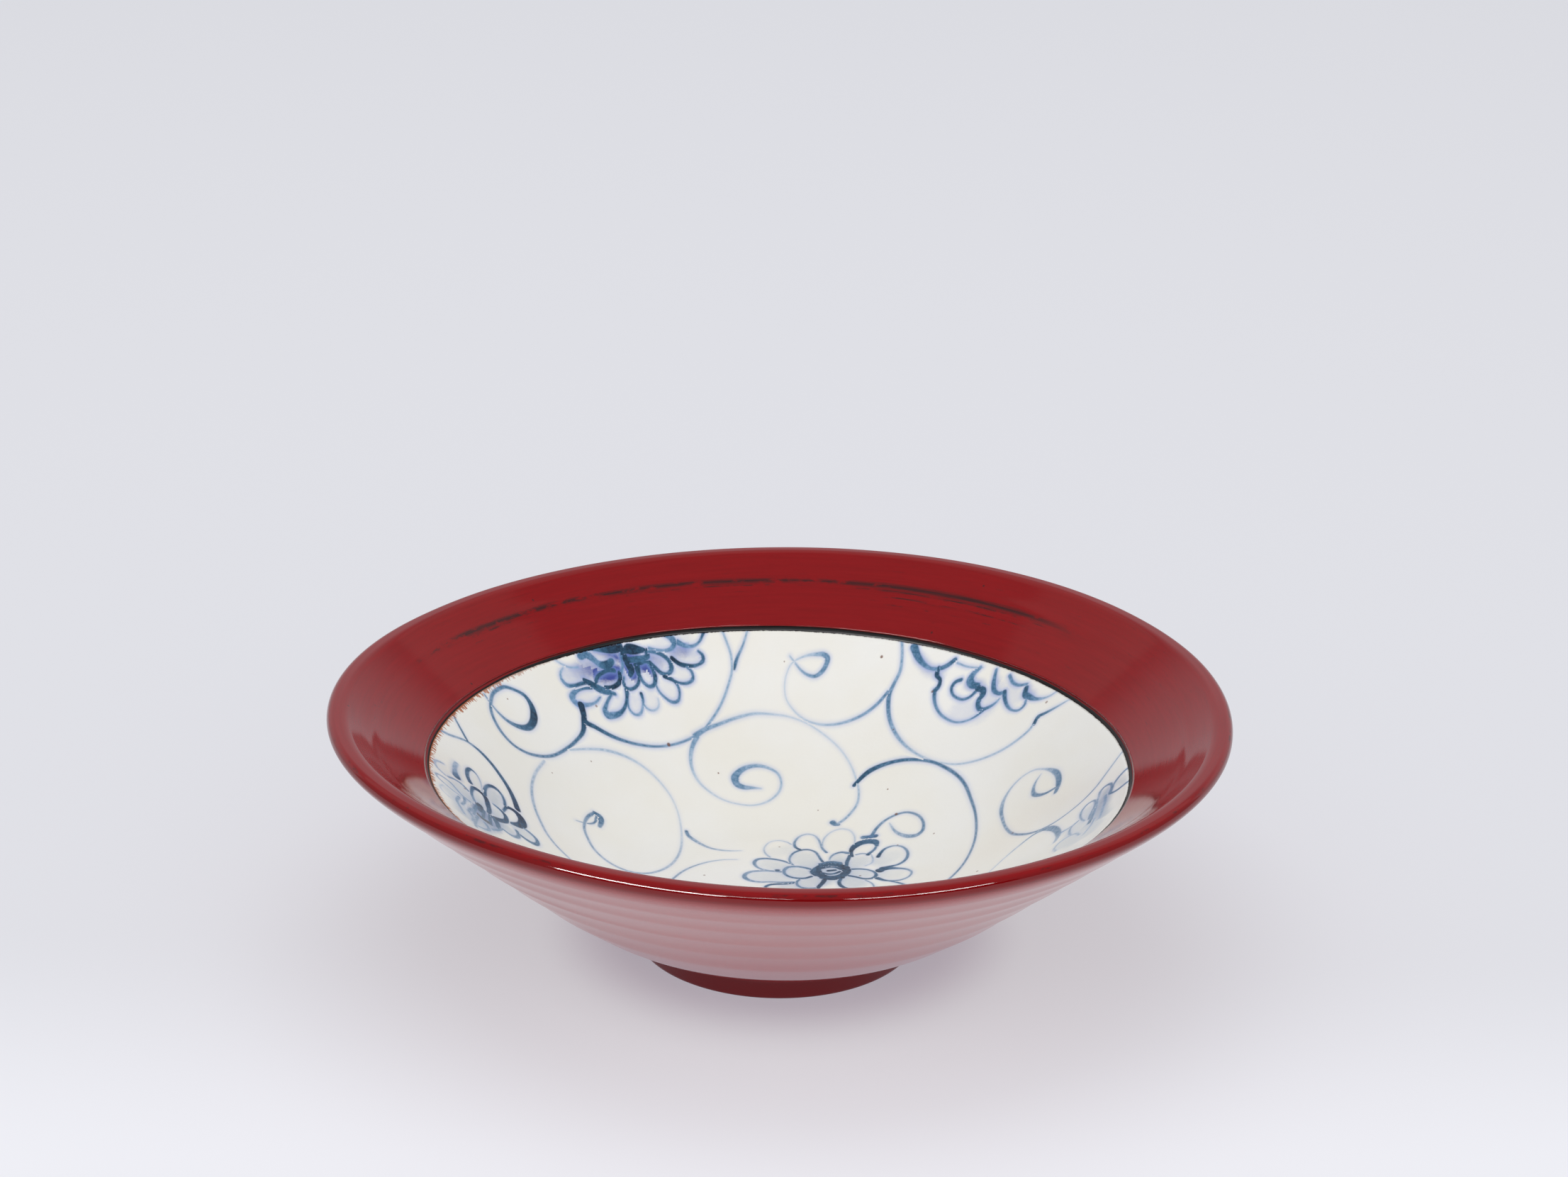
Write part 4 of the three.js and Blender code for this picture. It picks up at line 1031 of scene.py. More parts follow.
# Flowers and vines that the front of the bowl hides from the camera
HIDDEN_FLOWERS = [
    ((-34, -60), 21, 10, 5),
    ((43, -57), 22, 25, 7),
    ((4, -97), 19, 5, 9),
]
HIDDEN_VINES = [
    ([(35.5, -9.5), (28, -15.5), (18, -20), (7, -23), (-5, -24), (-16, -22), (-22, -17.5), (-21, -13),
      (-16, -12), (-13, -15.5)], (.9, .9, .8, .9, 1.2, 1.8, .7), (.45, .45, .4, .35, .45, .6, .5)),
    ([(-44, -14), (-38, -24), (-29, -31), (-18, -34), (-7, -32), (1, -26.5)], (.8, .9, .7), (.3, .4, .3)),
    ([(-31, -3), (-33, -11), (-38, -19), (-46, -26), (-56, -30), (-65, -36), (-71, -45), (-71, -54),
      (-64, -60), (-57, -57), (-55, -50), (-60, -45.5), (-65, -49)], (.8, .9, .9, 1.1, 1.5, 2, .8),
      (.38, .35, .32, .4, .5, .65, .5)),
    ([(1, -26.5), (9, -34), (14, -44), (14, -55), (9, -65), (1, -71), (-8, -72), (-15, -67), (-15, -59),
      (-8.5, -55), (-3, -58.5), (-4, -64)], (1.2, 1, .9, .9, 1.1, 1.7, .7),
      (.7, .55, .45, .4, .4, .55, .45)),
    ([(52, -12), (45, -18), (41, -26), (44, -33), (51, -36), (58, -33), (59, -26.5), (54, -23),
      (49.5, -26), (51, -30.5)], (.6, .7, .9, 1.2, 1.9, .7), (.2, .3, .4, .5, .6, .5)),
    ([(18, -78), (27, -82), (34, -88), (38, -95)], (.9, .8, .7), (.6, .45, .3)),
    ([(-12, -82), (-22, -85), (-33, -88), (-42, -94)], (.9, .8, .7), (.6, .45, .3)),
    ([(66, -58), (72, -50), (74, -42), (71, -36)], (.8, 1, 1.3), (.4, .5, .7)),
    ([(-57, -70), (-66, -67), (-74, -60), (-78, -50), (-78, -40)], (.8, .7, .6), (.4, .3, .2)),
]


def smooth_stroke(points, widths, tones, step=0.15):
    """A stroke as many close samples of x, y, half width and tone, on a curve through its points."""
    points = np.array(points, float)
    knots = way_along(points)
    gaps = np.diff(knots)
    slopes = np.gradient(points, knots, axis=0)
    places = np.linspace(0, knots[-1], max(3, round(knots[-1] / step)))
    span = np.clip(np.searchsorted(knots, places, side="right") - 1, 0, len(gaps) - 1)
    share = ((places - knots[span]) / gaps[span])[:, None]
    reach = gaps[span][:, None]
    curve = (
        (2 * share ** 3 - 3 * share ** 2 + 1) * points[span]
        + (share ** 3 - 2 * share ** 2 + share) * reach * slopes[span]
        + (3 * share ** 2 - 2 * share ** 3) * points[span + 1]
        + (share ** 3 - share ** 2) * reach * slopes[span + 1]
    )
    order = span + share[:, 0]
    width = np.interp(order, np.linspace(0, len(gaps), len(widths)), widths)
    tone = np.interp(order, np.linspace(0, len(gaps), len(tones)), tones)
    return np.column_stack([curve, width / 2, tone])


def painting():
    """The three layers of the painting, each a list of strokes."""
    petals, washes = list(PETALS), list(WASHES)
    for flower in HIDDEN_FLOWERS:
        more_petals, more_washes = chrysanthemum(*flower)
        petals += more_petals
        washes += more_washes
    return {"wash": washes, "petal": petals, "vine": VINES + HIDDEN_VINES}


def nearest_paint(strokes, corners):
    """For the corners of each face: the way to the nearest stroke and its half width, and its tone.
    All corners of a face look at the stroke whose side is nearest to the face's middle, so no false
    line appears where two strokes meet."""
    middles = corners.mean(axis=1)
    least = np.full(len(middles), np.inf)
    ways, tones = unpainted(corners.shape[:2])
    for stroke in strokes:
        samples = smooth_stroke(*stroke)
        low = samples[:, :2].min(axis=0) - FARTHEST_PAINT
        high = samples[:, :2].max(axis=0) + FARTHEST_PAINT
        near = np.flatnonzero(np.all((middles > low) & (middles < high), axis=1))
        gap = np.linalg.norm(middles[near, None] - samples[:, :2], axis=2) - samples[:, 2]
        closer = gap.min(axis=1) < least[near]
        near, gap = near[closer], gap[closer]
        first = gap.argmin(axis=1)
        least[near] = gap.min(axis=1)
        best = np.full((len(near), 4), np.inf)
        chosen = np.zeros((len(near), 4), int)
        for move in range(-8, 9):
            place = np.clip(first + move, 0, len(samples) - 1)
            reach = np.linalg.norm(corners[near] - samples[place, None, :2], axis=2)
            chosen = np.where(reach < best, place[:, None], chosen)
            best = np.minimum(reach, best)
        found = samples[chosen]
        ways[near] = np.concatenate([corners[near] - found[..., :2], found[..., 2:3]], axis=2)
        tones[near] = found[..., 3]
    return ways.reshape(-1, 3), tones.reshape(-1)


def unpainted(shape):
    """Ways and tones for places that are far from every stroke."""
    return np.full((*shape, 3), (50.0, 50.0, 0.5)), np.zeros(shape)


def disc_grid(cells):
    """A square grid bent into a disc of radius 1. Returns its points, its faces and the points of its rim."""
    side = np.linspace(-1, 1, cells + 1)
    a, b = np.meshgrid(side, side, indexing="ij")
    wide = np.abs(a) > np.abs(b)
    reach = np.where(wide, a, b)
    safe = np.where(reach == 0, 1, reach)
    angle = np.where(wide, math.pi / 4 * b / safe, math.pi / 2 - math.pi / 4 * a / safe)
    points = np.stack([reach * np.cos(angle), reach * np.sin(angle)], axis=2).reshape(-1, 2)
    index = np.arange((cells + 1) ** 2).reshape(cells + 1, cells + 1)
    faces = np.stack([index[:-1, :-1], index[1:, :-1], index[1:, 1:], index[:-1, 1:]], axis=2)
    rim = np.concatenate([index[:-1, 0], index[-1, :-1], index[:0:-1, -1], index[0, :0:-1]])
    return points, faces.reshape(-1, 4), rim


def well_mesh(section, coats):
    """The glaze: a fine top for the painting, a skirt at its edge, and a plain underside. Returns it and
    how many of its faces' corners the top has."""
    line = section.well(0.5 * MM)
    top = beside(line, -(coats.bond_gap + coats.glaze_thickness))[::-1]
    under = beside(line, -coats.bond_gap)[::-1]
    edge = section.form.edge_radius - EDGE_GAP
    disc, faces, rim = disc_grid(276)

    def raised(flat, section_line):
        return np.column_stack([flat, np.interp(np.linalg.norm(flat, axis=1), *section_line.T)])

    flat = disc * edge
    points, quads = [raised(flat, top)], [faces]
    start, previous = len(flat), rim
    for share in (1.0, *np.arange(0.95, 0.36, -0.05), 0.2):
        points.append(raised(flat[rim] * share, under))
        current = start + np.arange(len(rim))
        quads.append(np.stack([previous, current, np.roll(current, -1), np.roll(previous, -1)], axis=1))
        previous = current
        start += len(rim)
    points.append([(0, 0, under[0, 1])])
    fan = [(int(a), start, int(b)) for a, b in zip(previous, np.roll(previous, -1))]
    mesh = bpy.data.meshes.new("glazed_well")
    mesh.from_pydata(np.vstack(points).tolist(), [], np.vstack(quads).tolist() + fan)
    inset = np.zeros(len(mesh.vertices))
    inset[:len(flat)] = (edge - np.linalg.norm(flat, axis=1)) / MM
    store(mesh, "inset", "FLOAT", "POINT", inset)
    spread_flat(mesh, faces.size, edge)
    return mesh, faces.size


def corner_places(mesh):
    """The x and y of each corner of each face."""
    corners = np.empty(len(mesh.loops), np.int32)
    mesh.loops.foreach_get("vertex_index", corners)
    spots = np.empty(3 * len(mesh.vertices), np.float32)
    mesh.vertices.foreach_get("co", spots)
    return spots.reshape(-1, 3)[corners, :2].astype(float)


def spread_flat(mesh, painted, edge):
    """A map for the picture of the finish: the top fills it, and the underside has a small corner."""
    places = corner_places(mesh) / edge
    flat = 0.5 + 0.495 * places
    flat[painted:] = np.array([0.935, 0.065]) + 0.055 * places[painted:]
    layer = mesh.uv_layers.new(name="OFBake")
    layer.data.foreach_set("uv", flat.astype(np.float32).ravel())


def paint_well(mesh, painted):
    """Lays the strokes on the bowl as the hand has left it. Its first corners, painted, are the top."""
    places = corner_places(mesh)[:painted] / MM
    pins = np.array(PINS)
    pull = 1 / (((places[:, None] - pins[:, :2]) ** 2).sum(axis=2) + PIN_REACH ** 2) ** 2
    places -= pull @ pins[:, 2:] / pull.sum(axis=1)[:, None]
    for name, strokes in painting().items():
        ways, tones = unpainted((len(mesh.loops),))
        ways[:painted], tones[:painted] = nearest_paint(strokes, places.reshape(-1, 4, 2))
        store(mesh, name + "_way", "FLOAT_VECTOR", "CORNER", ways)
        store(mesh, name + "_tone", "FLOAT", "CORNER", tones)


# Finishes

# Rings where the red is worn through: how far each lies from the lip's top, its width, how much is left
WORN_RINGS = [(12.9, 1.7, -0.12), (14.4, 0.7, 0.02), (16.6, 0.5, 0.08), (19.2, 0.4, 0.1)]


def red_lacquer():
    """Polished red over black, worn through in a broken ring, with the brush's streaks in it. Its colour also
    holds painted light: a lighter outside wall, painted shade on the foot and a painted dark reflection under
    the lip.
    """
    colours = settings().colours
    finish = Finish("red_lacquer")
    cosine, sine = finish.cosine, finish.sine
    along = finish.attribute("along") / MM
    streaks = finish.around(5.0, along * 1.1, 4.0, 0.6)
    fine = finish.around(9.0, along * 3.6, 3.0, 0.6)
    cloud = finish.noise(finish.spot, 28.0)
    shade = 0.86 + streaks * 0.16 + fine * 0.08 + cloud * 0.04
    polished = finish.mix(shade.step(0.84, 1.08), scaled(colours.red, 0.62), colours.red)
    # Painted light: down the outside wall the red is lighter than the lacquer's own colour, and flat
    wall = finish.mix(along.fade(-9.0, -4.0), polished, scaled(colours.red, 1.15))
    # Painted shade: the foot ring, low under the bowl, is a much darker red
    base = finish.mix(along.fade(-102.5, -101.0), wall, scaled(colours.red, 0.5))
    # Painted reflection: a darker band of red just below the lip's highlight, where the lip mirrors the dark
    # front
    painted_dark_band_under_lip = (along + 3.4).near(0.9, 2.4) * 0.5
    base = finish.mix(painted_dark_band_under_lip, base, scaled(colours.red, 0.45))
    ring_place = finish.around(2.0, 0.0, 1.0)
    broken = finish.around(24.0, along * 0.5, 3.0, 0.65)
    patch = finish.around(2.6, 3.0, 1.0)
    back = sine.step(-0.3, 0.8) + cosine.step(-1.1, -0.2) - 0.6
    worn = 0.0
    for inset, width, left in WORN_RINGS:
        off = along - inset - cosine * 1.3 - (ring_place - 0.5) * 1.6 + (fine - 0.5) * 1.6
        line = (off.math("ABSOLUTE") + (1 - patch) * 0.5).fade(0.1, width)
        shown = (broken + patch * 0.5 + back * 0.14 - left).step(0.84, 1.04)
        worn = line * shown * cosine.fade(0.6, 0.82) + worn
    dashes = finish.around(16.0, along * 1.9 + 7.0, 3.0, 0.6)
    flare_only = along.step(2.0, 4.0)
    worn_faint = (dashes + streaks * 0.3).step(0.76, 0.98) * flare_only * 0.45
    edge = along.step(29.0, 31.2) * (fine + broken * 0.6).step(0.72, 0.95)
    lip = (along + 1.4).near(0.15, 0.6) * (broken + patch * 0.4).step(0.72, 0.92) * 0.7
    distance, pick = finish.cells(70.0)[:2]
    specks = distance.fade(0.012, 0.03) * pick.step(0.86, 0.88) * flare_only * 0.8
    black = (worn + worn_faint + edge + lip + specks).math("MINIMUM", 1.0)
    gloss = along.fade(-19.0, -6.0) * sine.step(-1.0, -0.68, 0.74, 0.14) * along.step(-103.0, -101.0)
    finish.set(
        Base_Color=finish.mix(black * 0.85, base, colours.black),
        Roughness=0.08 + fine * 0.06 + black * 0.1 - (along + 1.5).near(1.5, 3.0) * 0.05,
        Normal=finish.bump(streaks * 0.7 + fine * 0.3, 0.00003, 0.5),
        IOR=1.46,
        Coat_Weight=gloss,
        Coat_Roughness=0.1,
        Coat_IOR=1.7,
    )
    return finish.material


def black_lacquer(line_end):
    """Satin black with the brush's streaks in it. At the right the red laps over part of the black line."""
    colours = settings().colours
    finish = Finish("black_lacquer")
    cosine = finish.cosine
    streaks = finish.around(8.0, (finish.radius + finish.height) * 900.0, 3.0, 0.6)
    satin = finish.mix(streaks.step(0.35, 0.8), colours.black, scaled(colours.black, 1.4))
    from_end = line_end / MM - finish.attribute("along") / MM
    left = (0 - cosine).step(0.6, 0.95) * 0.45
    sides = cosine.math("ABSOLUTE").step(0.3, 0.85)
    lap = (from_end - 0.75 - streaks * 0.4 + left).step(0.0, 0.1) * sides
    finish.set(
        Base_Color=finish.mix(lap, satin, scaled(colours.red, 0.8)),
        Roughness=0.34 + streaks * 0.16,
        Normal=finish.bump(streaks, 0.00004, 0.6),
        IOR=1.4,
    )
    return finish.material


def bare_clay():
    """Fired stoneware: sandy, with darker grit and turning marks."""
    colours = settings().colours
    finish = Finish("bare_clay")
    grain = finish.noise(finish.spot, 900.0, 3.0, 0.7)
    grit = finish.noise(finish.spot, 2600.0, 1.0)
    turned_marks = finish.around(3.0, finish.radius * 1500.0, 2.0)
    shade = grain * 0.6 + turned_marks * 0.4
    tone = finish.mix(shade.step(0.3, 0.7), scaled(colours.clay, 0.55), colours.clay)
    finish.set(
        Base_Color=finish.mix(grit.step(0.68, 0.74), tone, colours.iron),
        Roughness=0.78 + grain * 0.15,
        Normal=finish.bump(grain + turned_marks * 0.5, 0.00025, 0.7),
    )
    return finish.material


# Cobalt from watery to full, as screen colours: where the glaze is thin, and where it has pooled
THIN_COBALT = [
    (178, 196, 218), (150, 175, 204), (106, 141, 173), (76, 115, 147), (52, 86, 116), (34, 48, 68),
]
POOLED_COBALT = [
    (176, 201, 223), (146, 182, 208), (102, 147, 181), (67, 113, 146), (43, 80, 108), (26, 42, 62),
]

# Iron spots that stand out on the glaze: their places and radii in millimetres
SPOTS = [
    (-32.6, 59.2, .5), (31.3, 38.3, .45), (27.3, 85, .4), (-18.5, 55, .25), (29, 48, .25), (-77, 47, .2),
]


def stroke_around(finish, name):
    """How far a point is from the middle of the nearest stroke of a layer, its half width and its tone."""
    x, y, half = finish.attribute(name + "_way", "Vector").parts()
    return (x * x + y * y) ** 0.5, half, finish.attribute(name + "_tone")


def painted_layer(finish, under, name, halo_strength, rough, pooled):
    """Lays one layer of the painting over a colour: a core with ragged edges and a violet bleed."""
    reach, half, tone = stroke_around(finish, name)
    outside = reach - half * (0.8 + rough * 0.3) + (rough - 0.5) * 0.5
    core = outside.fade(-0.3, 0.34)
    halo = (outside / 1.9).fade(-0.3, 1.0)
    bleed = halo * halo * tone.step(0.0, 0.7, 0.35, 1.0) * halo_strength * (0.5 + pooled * 0.5)
    bled = finish.mix(bleed, under, settings().colours.bleed)
    depth = (tone * 0.92 + (rough - 0.5) * 0.6).math("MAXIMUM", 0.0)
    thin, deep = ([from_screen(*shade) for shade in shades] for shades in (THIN_COBALT, POOLED_COBALT))
    ink = finish.mix(pooled, finish.ramp(depth, thin), finish.ramp(depth, deep))
    cover = (tone * 0.65 + 0.36 + (rough - 0.5) * 0.6) * core
    return finish.mix(cover.step(0.0, 0.9), bled, ink)


def painted_washes(finish, under, rough, pooled):
    """Lays the thin washes inside the petals: grey blue, and violet where the glaze has pooled."""
    reach, half, tone = stroke_around(finish, "wash")
    gap = reach - half * (0.75 + rough * 0.5)
    cover = (gap.fade(-1.6, 1.7) * tone * (1.0 + rough * 0.6)).math("MINIMUM", 1.0)
    pale = finish.mix(pooled, from_screen(172, 187, 204), from_screen(150, 167, 214))
    deep = finish.mix(pooled, from_screen(104, 120, 150), from_screen(62, 76, 152))
    return finish.mix(cover, under, finish.mix(tone.step(0.25, 0.95), pale, deep))


def iron_specks(finish, under, rough):
    """Lays fine brown specks over a colour, with a few larger spots at their places."""
    distance, pick, size = finish.cells(95.0)
    speck = (distance - size * 0.02).fade(0.008, 0.026) * pick.step(0.87, 0.90) * 0.7
    for x, y, reach in SPOTS:
        gap = ((finish.across / MM - x) ** 2 + (finish.away / MM - y) ** 2) ** 0.5
        speck = speck.math("MAXIMUM", (gap + (rough - 0.5) * 0.3).fade(reach * 0.5, reach * 1.4))
    return finish.mix(speck * 0.85, under, settings().colours.iron)


def ragged_edge(finish, under):
    """Lays brown teeth at the left edge of the well over a colour, and a thin uneven black line."""
    inset = finish.attribute("inset")
    teeth = finish.around(120.0, inset * 0.3, 3.0, 0.75)
    drift = finish.around(6.0, 0.0, 2.0)
    left = (0 - finish.cosine).step(0.6, 0.95)
    tooth = teeth.step(0.4, 0.62)
    burnt = (inset - 0.2 - tooth * (0.3 + left * 0.9)).fade(-0.12, 0.1) * (0.06 + left * 0.9)
    edged = finish.mix(burnt, under, from_screen(176, 104, 66))
    uneven = inset - (teeth - 0.35) * 0.8 - (drift - 0.5) * 0.6
    black = (uneven + (finish.cosine - 0.2) * 0.15 + left * 0.45).fade(-0.08, 0.1)
    return finish.mix(black, edged, settings().colours.black)


def painted_glaze():
    """White glaze over cobalt painting, with iron specks, a ragged edge and painted shade at the left and
    right of its wall.
    """
    glaze = settings().colours.glaze
    finish = Finish("painted_glaze")
    cloud = finish.noise(finish.spot, 30.0, 3.0)
    rough = finish.noise(finish.spot, 900.0, 4.0, 0.65)
    grain = finish.noise(finish.spot, 1500.0)
    shown = finish.mix(cloud.step(0.3, 0.7) * 0.8 + grain * 0.2, glaze, scaled(glaze, 0.975, 0.955, 0.90))
    # Painted shade: the glaze turns a little grey at the left and right of the well's wall
    side = finish.cosine.math("ABSOLUTE").step(0.5, 0.95) * finish.radius.step(52 * MM, 84 * MM)
    shown = finish.mix(side * 0.09, shown, (0.35, 0.36, 0.34))
    pooled = finish.away.step(22 * MM, 62 * MM)
    shown = painted_washes(finish, shown, rough, pooled)
    for layer, halo_strength in (("petal", 0.78), ("vine", 0.6)):
        shown = painted_layer(finish, shown, layer, halo_strength, rough, pooled)
    finish.set(
        Base_Color=ragged_edge(finish, iron_specks(finish, shown, rough)),
        Roughness=0.16 + rough * 0.08,
        Normal=finish.bump(grain * 0.5 + rough * 0.4 + cloud, 0.00009, 0.6),
        IOR=1.5,
    )
    return finish.material


# Pieces

def body_piece(section):
    """The clay, from the foot recess over the lip to the middle of the well."""
    foot = rounded(section.recess(), FOOT_ROUNDNESS)
    line = np.vstack([foot, section.lacquered(1.2 * MM, 6), section.well(2.0 * MM)[1:]])
    piece = turned("turned_clay", line, way_along(line), bare_clay(), 160)
    dress(piece, "clay_body")


def well_piece(section, coats):
    """The painted glaze."""
    mesh, painted = well_mesh(section, coats)
    piece = new_object("glazed_well", mesh)
    apply_tree(piece, hand_tree(), material=painted_glaze())
    face_outwards(piece.data)
    paint_well(piece.data, painted)
    dress(piece, "well_glaze")


def undercoat_piece(section, coats):
    """The black undercoat. Returns its material."""
    end_radius = section.form.edge_radius + coats.bond_gap
    line = cut_back(section.lacquered(1.0 * MM, 8), coats.bare_sole, end_radius)
    front = beside(line, -(coats.bond_gap + coats.black_thickness))
    flare = front[int(np.argmax(front[:, 1])):]
    material = black_lacquer(float(way_along(flare)[-1]))
    piece = coat("black_coat", front, beside(line, -coats.bond_gap)[::3], material)
    dress(piece, "black_undercoat")
    return material


def recess_piece(section, coats, material):
    """The lacquer in the foot recess. It stops as high above the table as the coats outside."""
    recess = section.recess()[:3]
    fall = (recess[1, 1] - coats.bare_sole) / (recess[1, 1] - recess[2, 1])
    recess[2] = recess[1] + fall * (recess[2] - recess[1])
    line = rounded(recess, 0.6 * MM)
    inside = beside(line, -coats.bond_gap)
    outside = beside(line, -(coats.bond_gap + coats.black_thickness))
    loop = np.vstack([outside, inside[::-1]])
    piece = turned("recess_lining", loop, way_along(loop), material, 120)
    dress(piece, "foot_recess_lacquer")


def topcoat_piece(section, coats):
    """The red topcoat, which leaves a line of the black in view beside the well."""
    end_radius = section.form.edge_radius + coats.black_line
    line = cut_back(section.lacquered(0.7 * MM, 14), coats.bare_sole, end_radius)
    under = coats.bond_gap + coats.black_thickness + coats.bond_gap
    back = beside(line, -under)[::3]
    piece = coat("red_coat", beside(line, -(under + coats.red_thickness)), back, red_lacquer())
    dress(piece, "red_topcoat")


# Stage

def turn_to(thing, target):
    """Turns a lamp or a card so that its face looks at the target."""
    thing.rotation_euler = (thing.location - Vector(target)).to_track_quat("Z", "Y").to_euler()


def area_lamp(name, place, size, watts):
    """A large soft lamp that lights the bowl and the floor and isn't mirrored in them."""
    lamp = bpy.data.lights.new(name, "AREA")
    lamp.shape = "RECTANGLE"
    lamp.size, lamp.size_y = size
    lamp.energy = watts
    holder = new_object(name, lamp)
    holder.location = place
    turn_to(holder, BOWL_MIDDLE)
    holder.visible_glossy = False


def add_plane(name, size, place):
    """A square in the scene."""
    bpy.ops.mesh.primitive_plane_add(size=size, location=place)
    plane = bpy.context.object
    plane.name = name
    return plane


def mirrored_card(name, place, size, shade, strength, fade=0.0, target=None):
    """A glowing card that only the gloss of the bowl sees. It can fade to half towards its top."""
    card = add_plane(name, 1.0, place)
    card.scale = (*size, 1)
    turn_to(card, target or BOWL_MIDDLE)
    finish = Finish(name)
    glow = finish.away.fade(0.5 - fade, 0.5) if fade else 1.0
    lit = finish.mix(glow, scaled(shade, 0.5), shade)
    finish.set(Base_Color=(0, 0, 0), Specular_IOR_Level=0.0, Emission_Color=lit, Emission_Strength=strength)
    card.data.materials.append(finish.material)
    for ray in ("camera", "diffuse", "shadow", "transmission"):
        setattr(card, "visible_" + ray, False)


def build_floor(stage):
    """The pale floor, which glows a little so that its shadow stays as pale as in the photo."""
    floor = add_plane("floor", 8.0, (0, 0, -0.1 * MM))
    finish = Finish("pale_floor")
    # Painted shadow: close round the bowl the floor is darker and a little violet
    under = scaled(stage.floor, 0.72, 0.67, 0.72)
    # Painted light: away from the bowl and towards the front the floor is brighter than its own colour
    painted_bright_floor = finish.mix(finish.radius.step(0.043, 0.078), under, scaled(stage.floor, 1.24))
    near = finish.mix(finish.radius.step(0.043, 0.068), under, stage.floor)
    lit = finish.mix((0 - finish.radius * finish.sine).step(0.0, 0.14), near, painted_bright_floor)
    finish.set(
        Base_Color=scaled(stage.floor, 0.42),
        Roughness=1.0,
        Specular_IOR_Level=0.0,
        Emission_Color=lit,
        Emission_Strength=stage.floor_glow,
    )
    floor.data.materials.append(finish.material)


def build_surround(stage):
    """The pale surround: one brightness as light, a darker one in the gloss, and one for the camera."""
    world = bpy.data.worlds.new("pale_surround")
    world.use_nodes = True
    bpy.context.scene.world = world
    board = Board(world.node_tree)
    board.tree.nodes.clear()
    camera_ray, glossy_ray = board.node("ShaderNodeLightPath", {}, ("Is Camera Ray", "Is Glossy Ray"))
    pale = (0.93, 0.96, 1.0)
    lit = board.mix(glossy_ray, scaled(pale, stage.surround), scaled(pale, 0.28))
    shown = board.mix(camera_ray, lit, scaled(pale, 0.78))
    sky = board.node("ShaderNodeBackground", {"Color": shown, "Strength": 1.0})
    board.node("ShaderNodeOutputWorld", {"Surface": sky}, ())


def build_lights(stage):
    """Two soft lamps, and the cards that the lacquer mirrors."""
    white = (1, 1, 1)
    area_lamp("overhead_lamp", (-0.1, 0.2, 1.6), (1.6, 1.4), stage.overhead)
    area_lamp("front_lamp", (0.2, -1.6, 0.7), (2.2, 0.9), stage.front)
    mirrored_card("backdrop_card", (0, 1.35, 0.5), (4.4, 1.3), stage.floor, 0.75, 0.45, (0, 0, 0.5))
    mirrored_card("high_backdrop", (0, 1.0, 1.35), (3.6, 0.95), white, 0.46)
    mirrored_card("dark_front", (0, -2.4, 0.6), (7.0, 1.4), (0, 0, 0), 0.0, 0.0, (0, 0, 0.6))
    mirrored_card("left_softbox", (-0.89, -1.2, 0.72), (1.08, 0.26), white, stage.softbox)
    mirrored_card("middle_softbox", (-0.29, -1.3, 0.73), (0.5, 0.14), white, stage.softbox * 0.3)
    mirrored_card("right_softbox", (0.72, -1.22, 0.70), (0.95, 0.2), white, stage.softbox * 0.7)


def build_camera(stage):
    """The camera of the photograph: a long lens, just off level."""
    camera = bpy.data.cameras.new("camera")
    camera.sensor_width = 36.0
    camera.lens = 97.65
    camera.clip_start = 0.05
    holder = new_object("camera", camera)
    down, aside, roll = math.radians(21.189), 0.00078, math.radians(0.873)
    turn = Matrix.Rotation(math.pi / 2 - down, 4, "X") @ Matrix.Rotation(roll, 4, "Z")
    place = Matrix.Translation((0.0, -stage.camera_distance, stage.camera_height))
    holder.matrix_world = place @ Matrix.Rotation(aside, 4, "Z") @ turn
    bpy.context.scene.camera = holder


# Operators

class BOWL_OT_body(bpy.types.Operator):
    """Turn the clay body"""

    bl_idname = "bowl.body"
    bl_label = "Clay body"

    def execute(self, context):
        body_piece(Section(settings().form))
        return {"FINISHED"}


class BOWL_OT_well(bpy.types.Operator):
    """Glaze and paint the well"""

    bl_idname = "bowl.well"
    bl_label = "Painted well"

    def execute(self, context):
        well_piece(Section(settings().form), settings().coats)
        return {"FINISHED"}


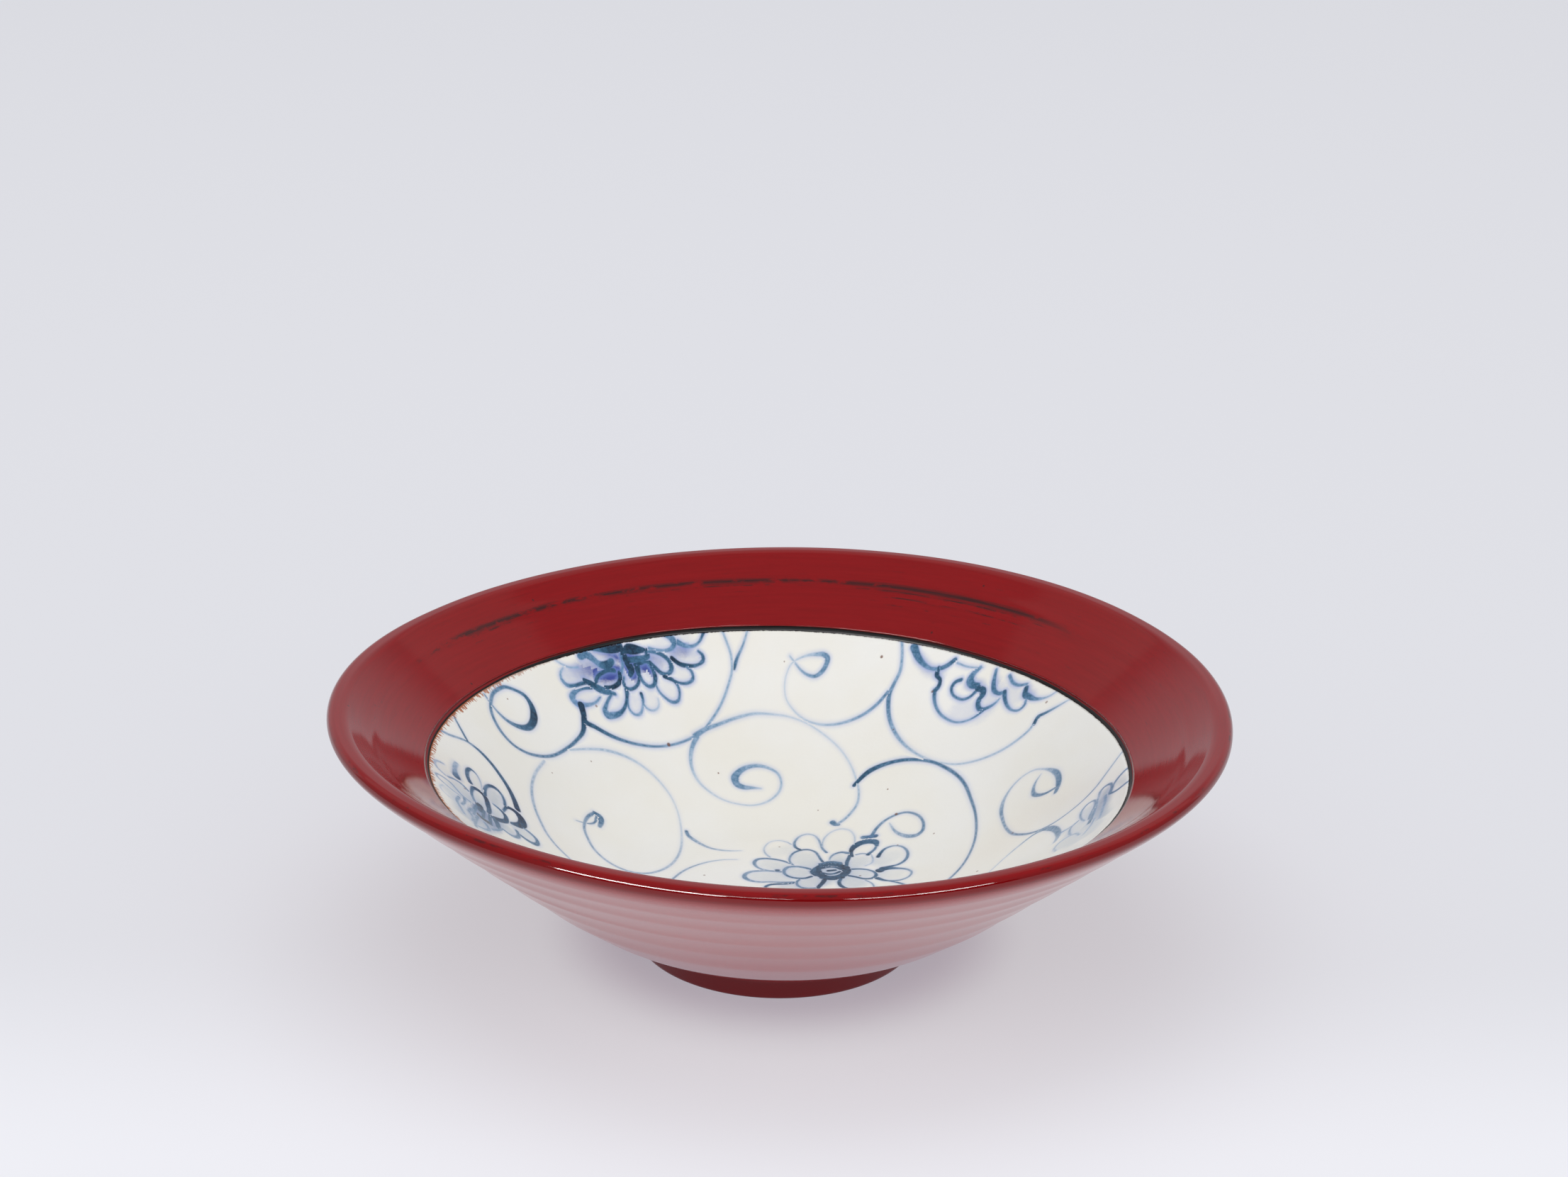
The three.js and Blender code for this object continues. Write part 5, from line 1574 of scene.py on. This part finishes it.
class BOWL_OT_black(bpy.types.Operator):
    """Lay the black undercoat and the lacquer in the foot recess"""

    bl_idname = "bowl.black"
    bl_label = "Black lacquer"

    def execute(self, context):
        section, coats = Section(settings().form), settings().coats
        recess_piece(section, coats, undercoat_piece(section, coats))
        return {"FINISHED"}


class BOWL_OT_red(bpy.types.Operator):
    """Lay the red topcoat"""

    bl_idname = "bowl.red"
    bl_label = "Red lacquer"

    def execute(self, context):
        topcoat_piece(Section(settings().form), settings().coats)
        return {"FINISHED"}


class BOWL_OT_stage(bpy.types.Operator):
    """Set up the floor, the lamps and the camera"""

    bl_idname = "bowl.stage"
    bl_label = "Stage"

    def execute(self, context):
        context.scene.view_settings.view_transform = "Standard"
        for build in (build_floor, build_surround, build_lights, build_camera):
            build(settings().stage)
        return {"FINISHED"}


OPERATORS = (BOWL_OT_body, BOWL_OT_well, BOWL_OT_black, BOWL_OT_red, BOWL_OT_stage)


class BOWL_PT_panel(bpy.types.Panel):
    """Lists the steps that build the bowl"""

    bl_idname = "BOWL_PT_panel"
    bl_label = "Lacquered pottery bowl"
    bl_space_type = "VIEW_3D"
    bl_region_type = "UI"
    bl_category = "Bowl"

    def draw(self, context):
        for operator in OPERATORS:
            self.layout.operator(operator.bl_idname)


class BowlSettings(bpy.types.PropertyGroup):
    """All settings of the bowl."""

    form: PointerProperty(type=BowlForm, name="Form", description="Sizes of the clay")
    hand: PointerProperty(type=BowlHand, name="Hand", description="Unevenness left by the potter")
    coats: PointerProperty(type=BowlCoats, name="Coats", description="Glaze and lacquer")
    colours: PointerProperty(type=BowlColours, name="Colours", description="Colours of the surfaces")
    stage: PointerProperty(type=BowlStage, name="Stage", description="Floor, lamps and camera")


GROUPS = (BowlForm, BowlHand, BowlCoats, BowlColours, BowlStage, BowlSettings)
CLASSES = (*GROUPS, *OPERATORS, BOWL_PT_panel)


def register():
    for item in CLASSES:
        bpy.utils.register_class(item)
    bpy.types.Scene.lacquered_bowl = PointerProperty(type=BowlSettings)


def unregister():
    del bpy.types.Scene.lacquered_bowl
    for item in reversed(CLASSES):
        bpy.utils.unregister_class(item)


def main():
    register()
    for operator in OPERATORS:
        group, name = operator.bl_idname.split(".")
        getattr(getattr(bpy.ops, group), name)()


if __name__ == "__main__":
    main()
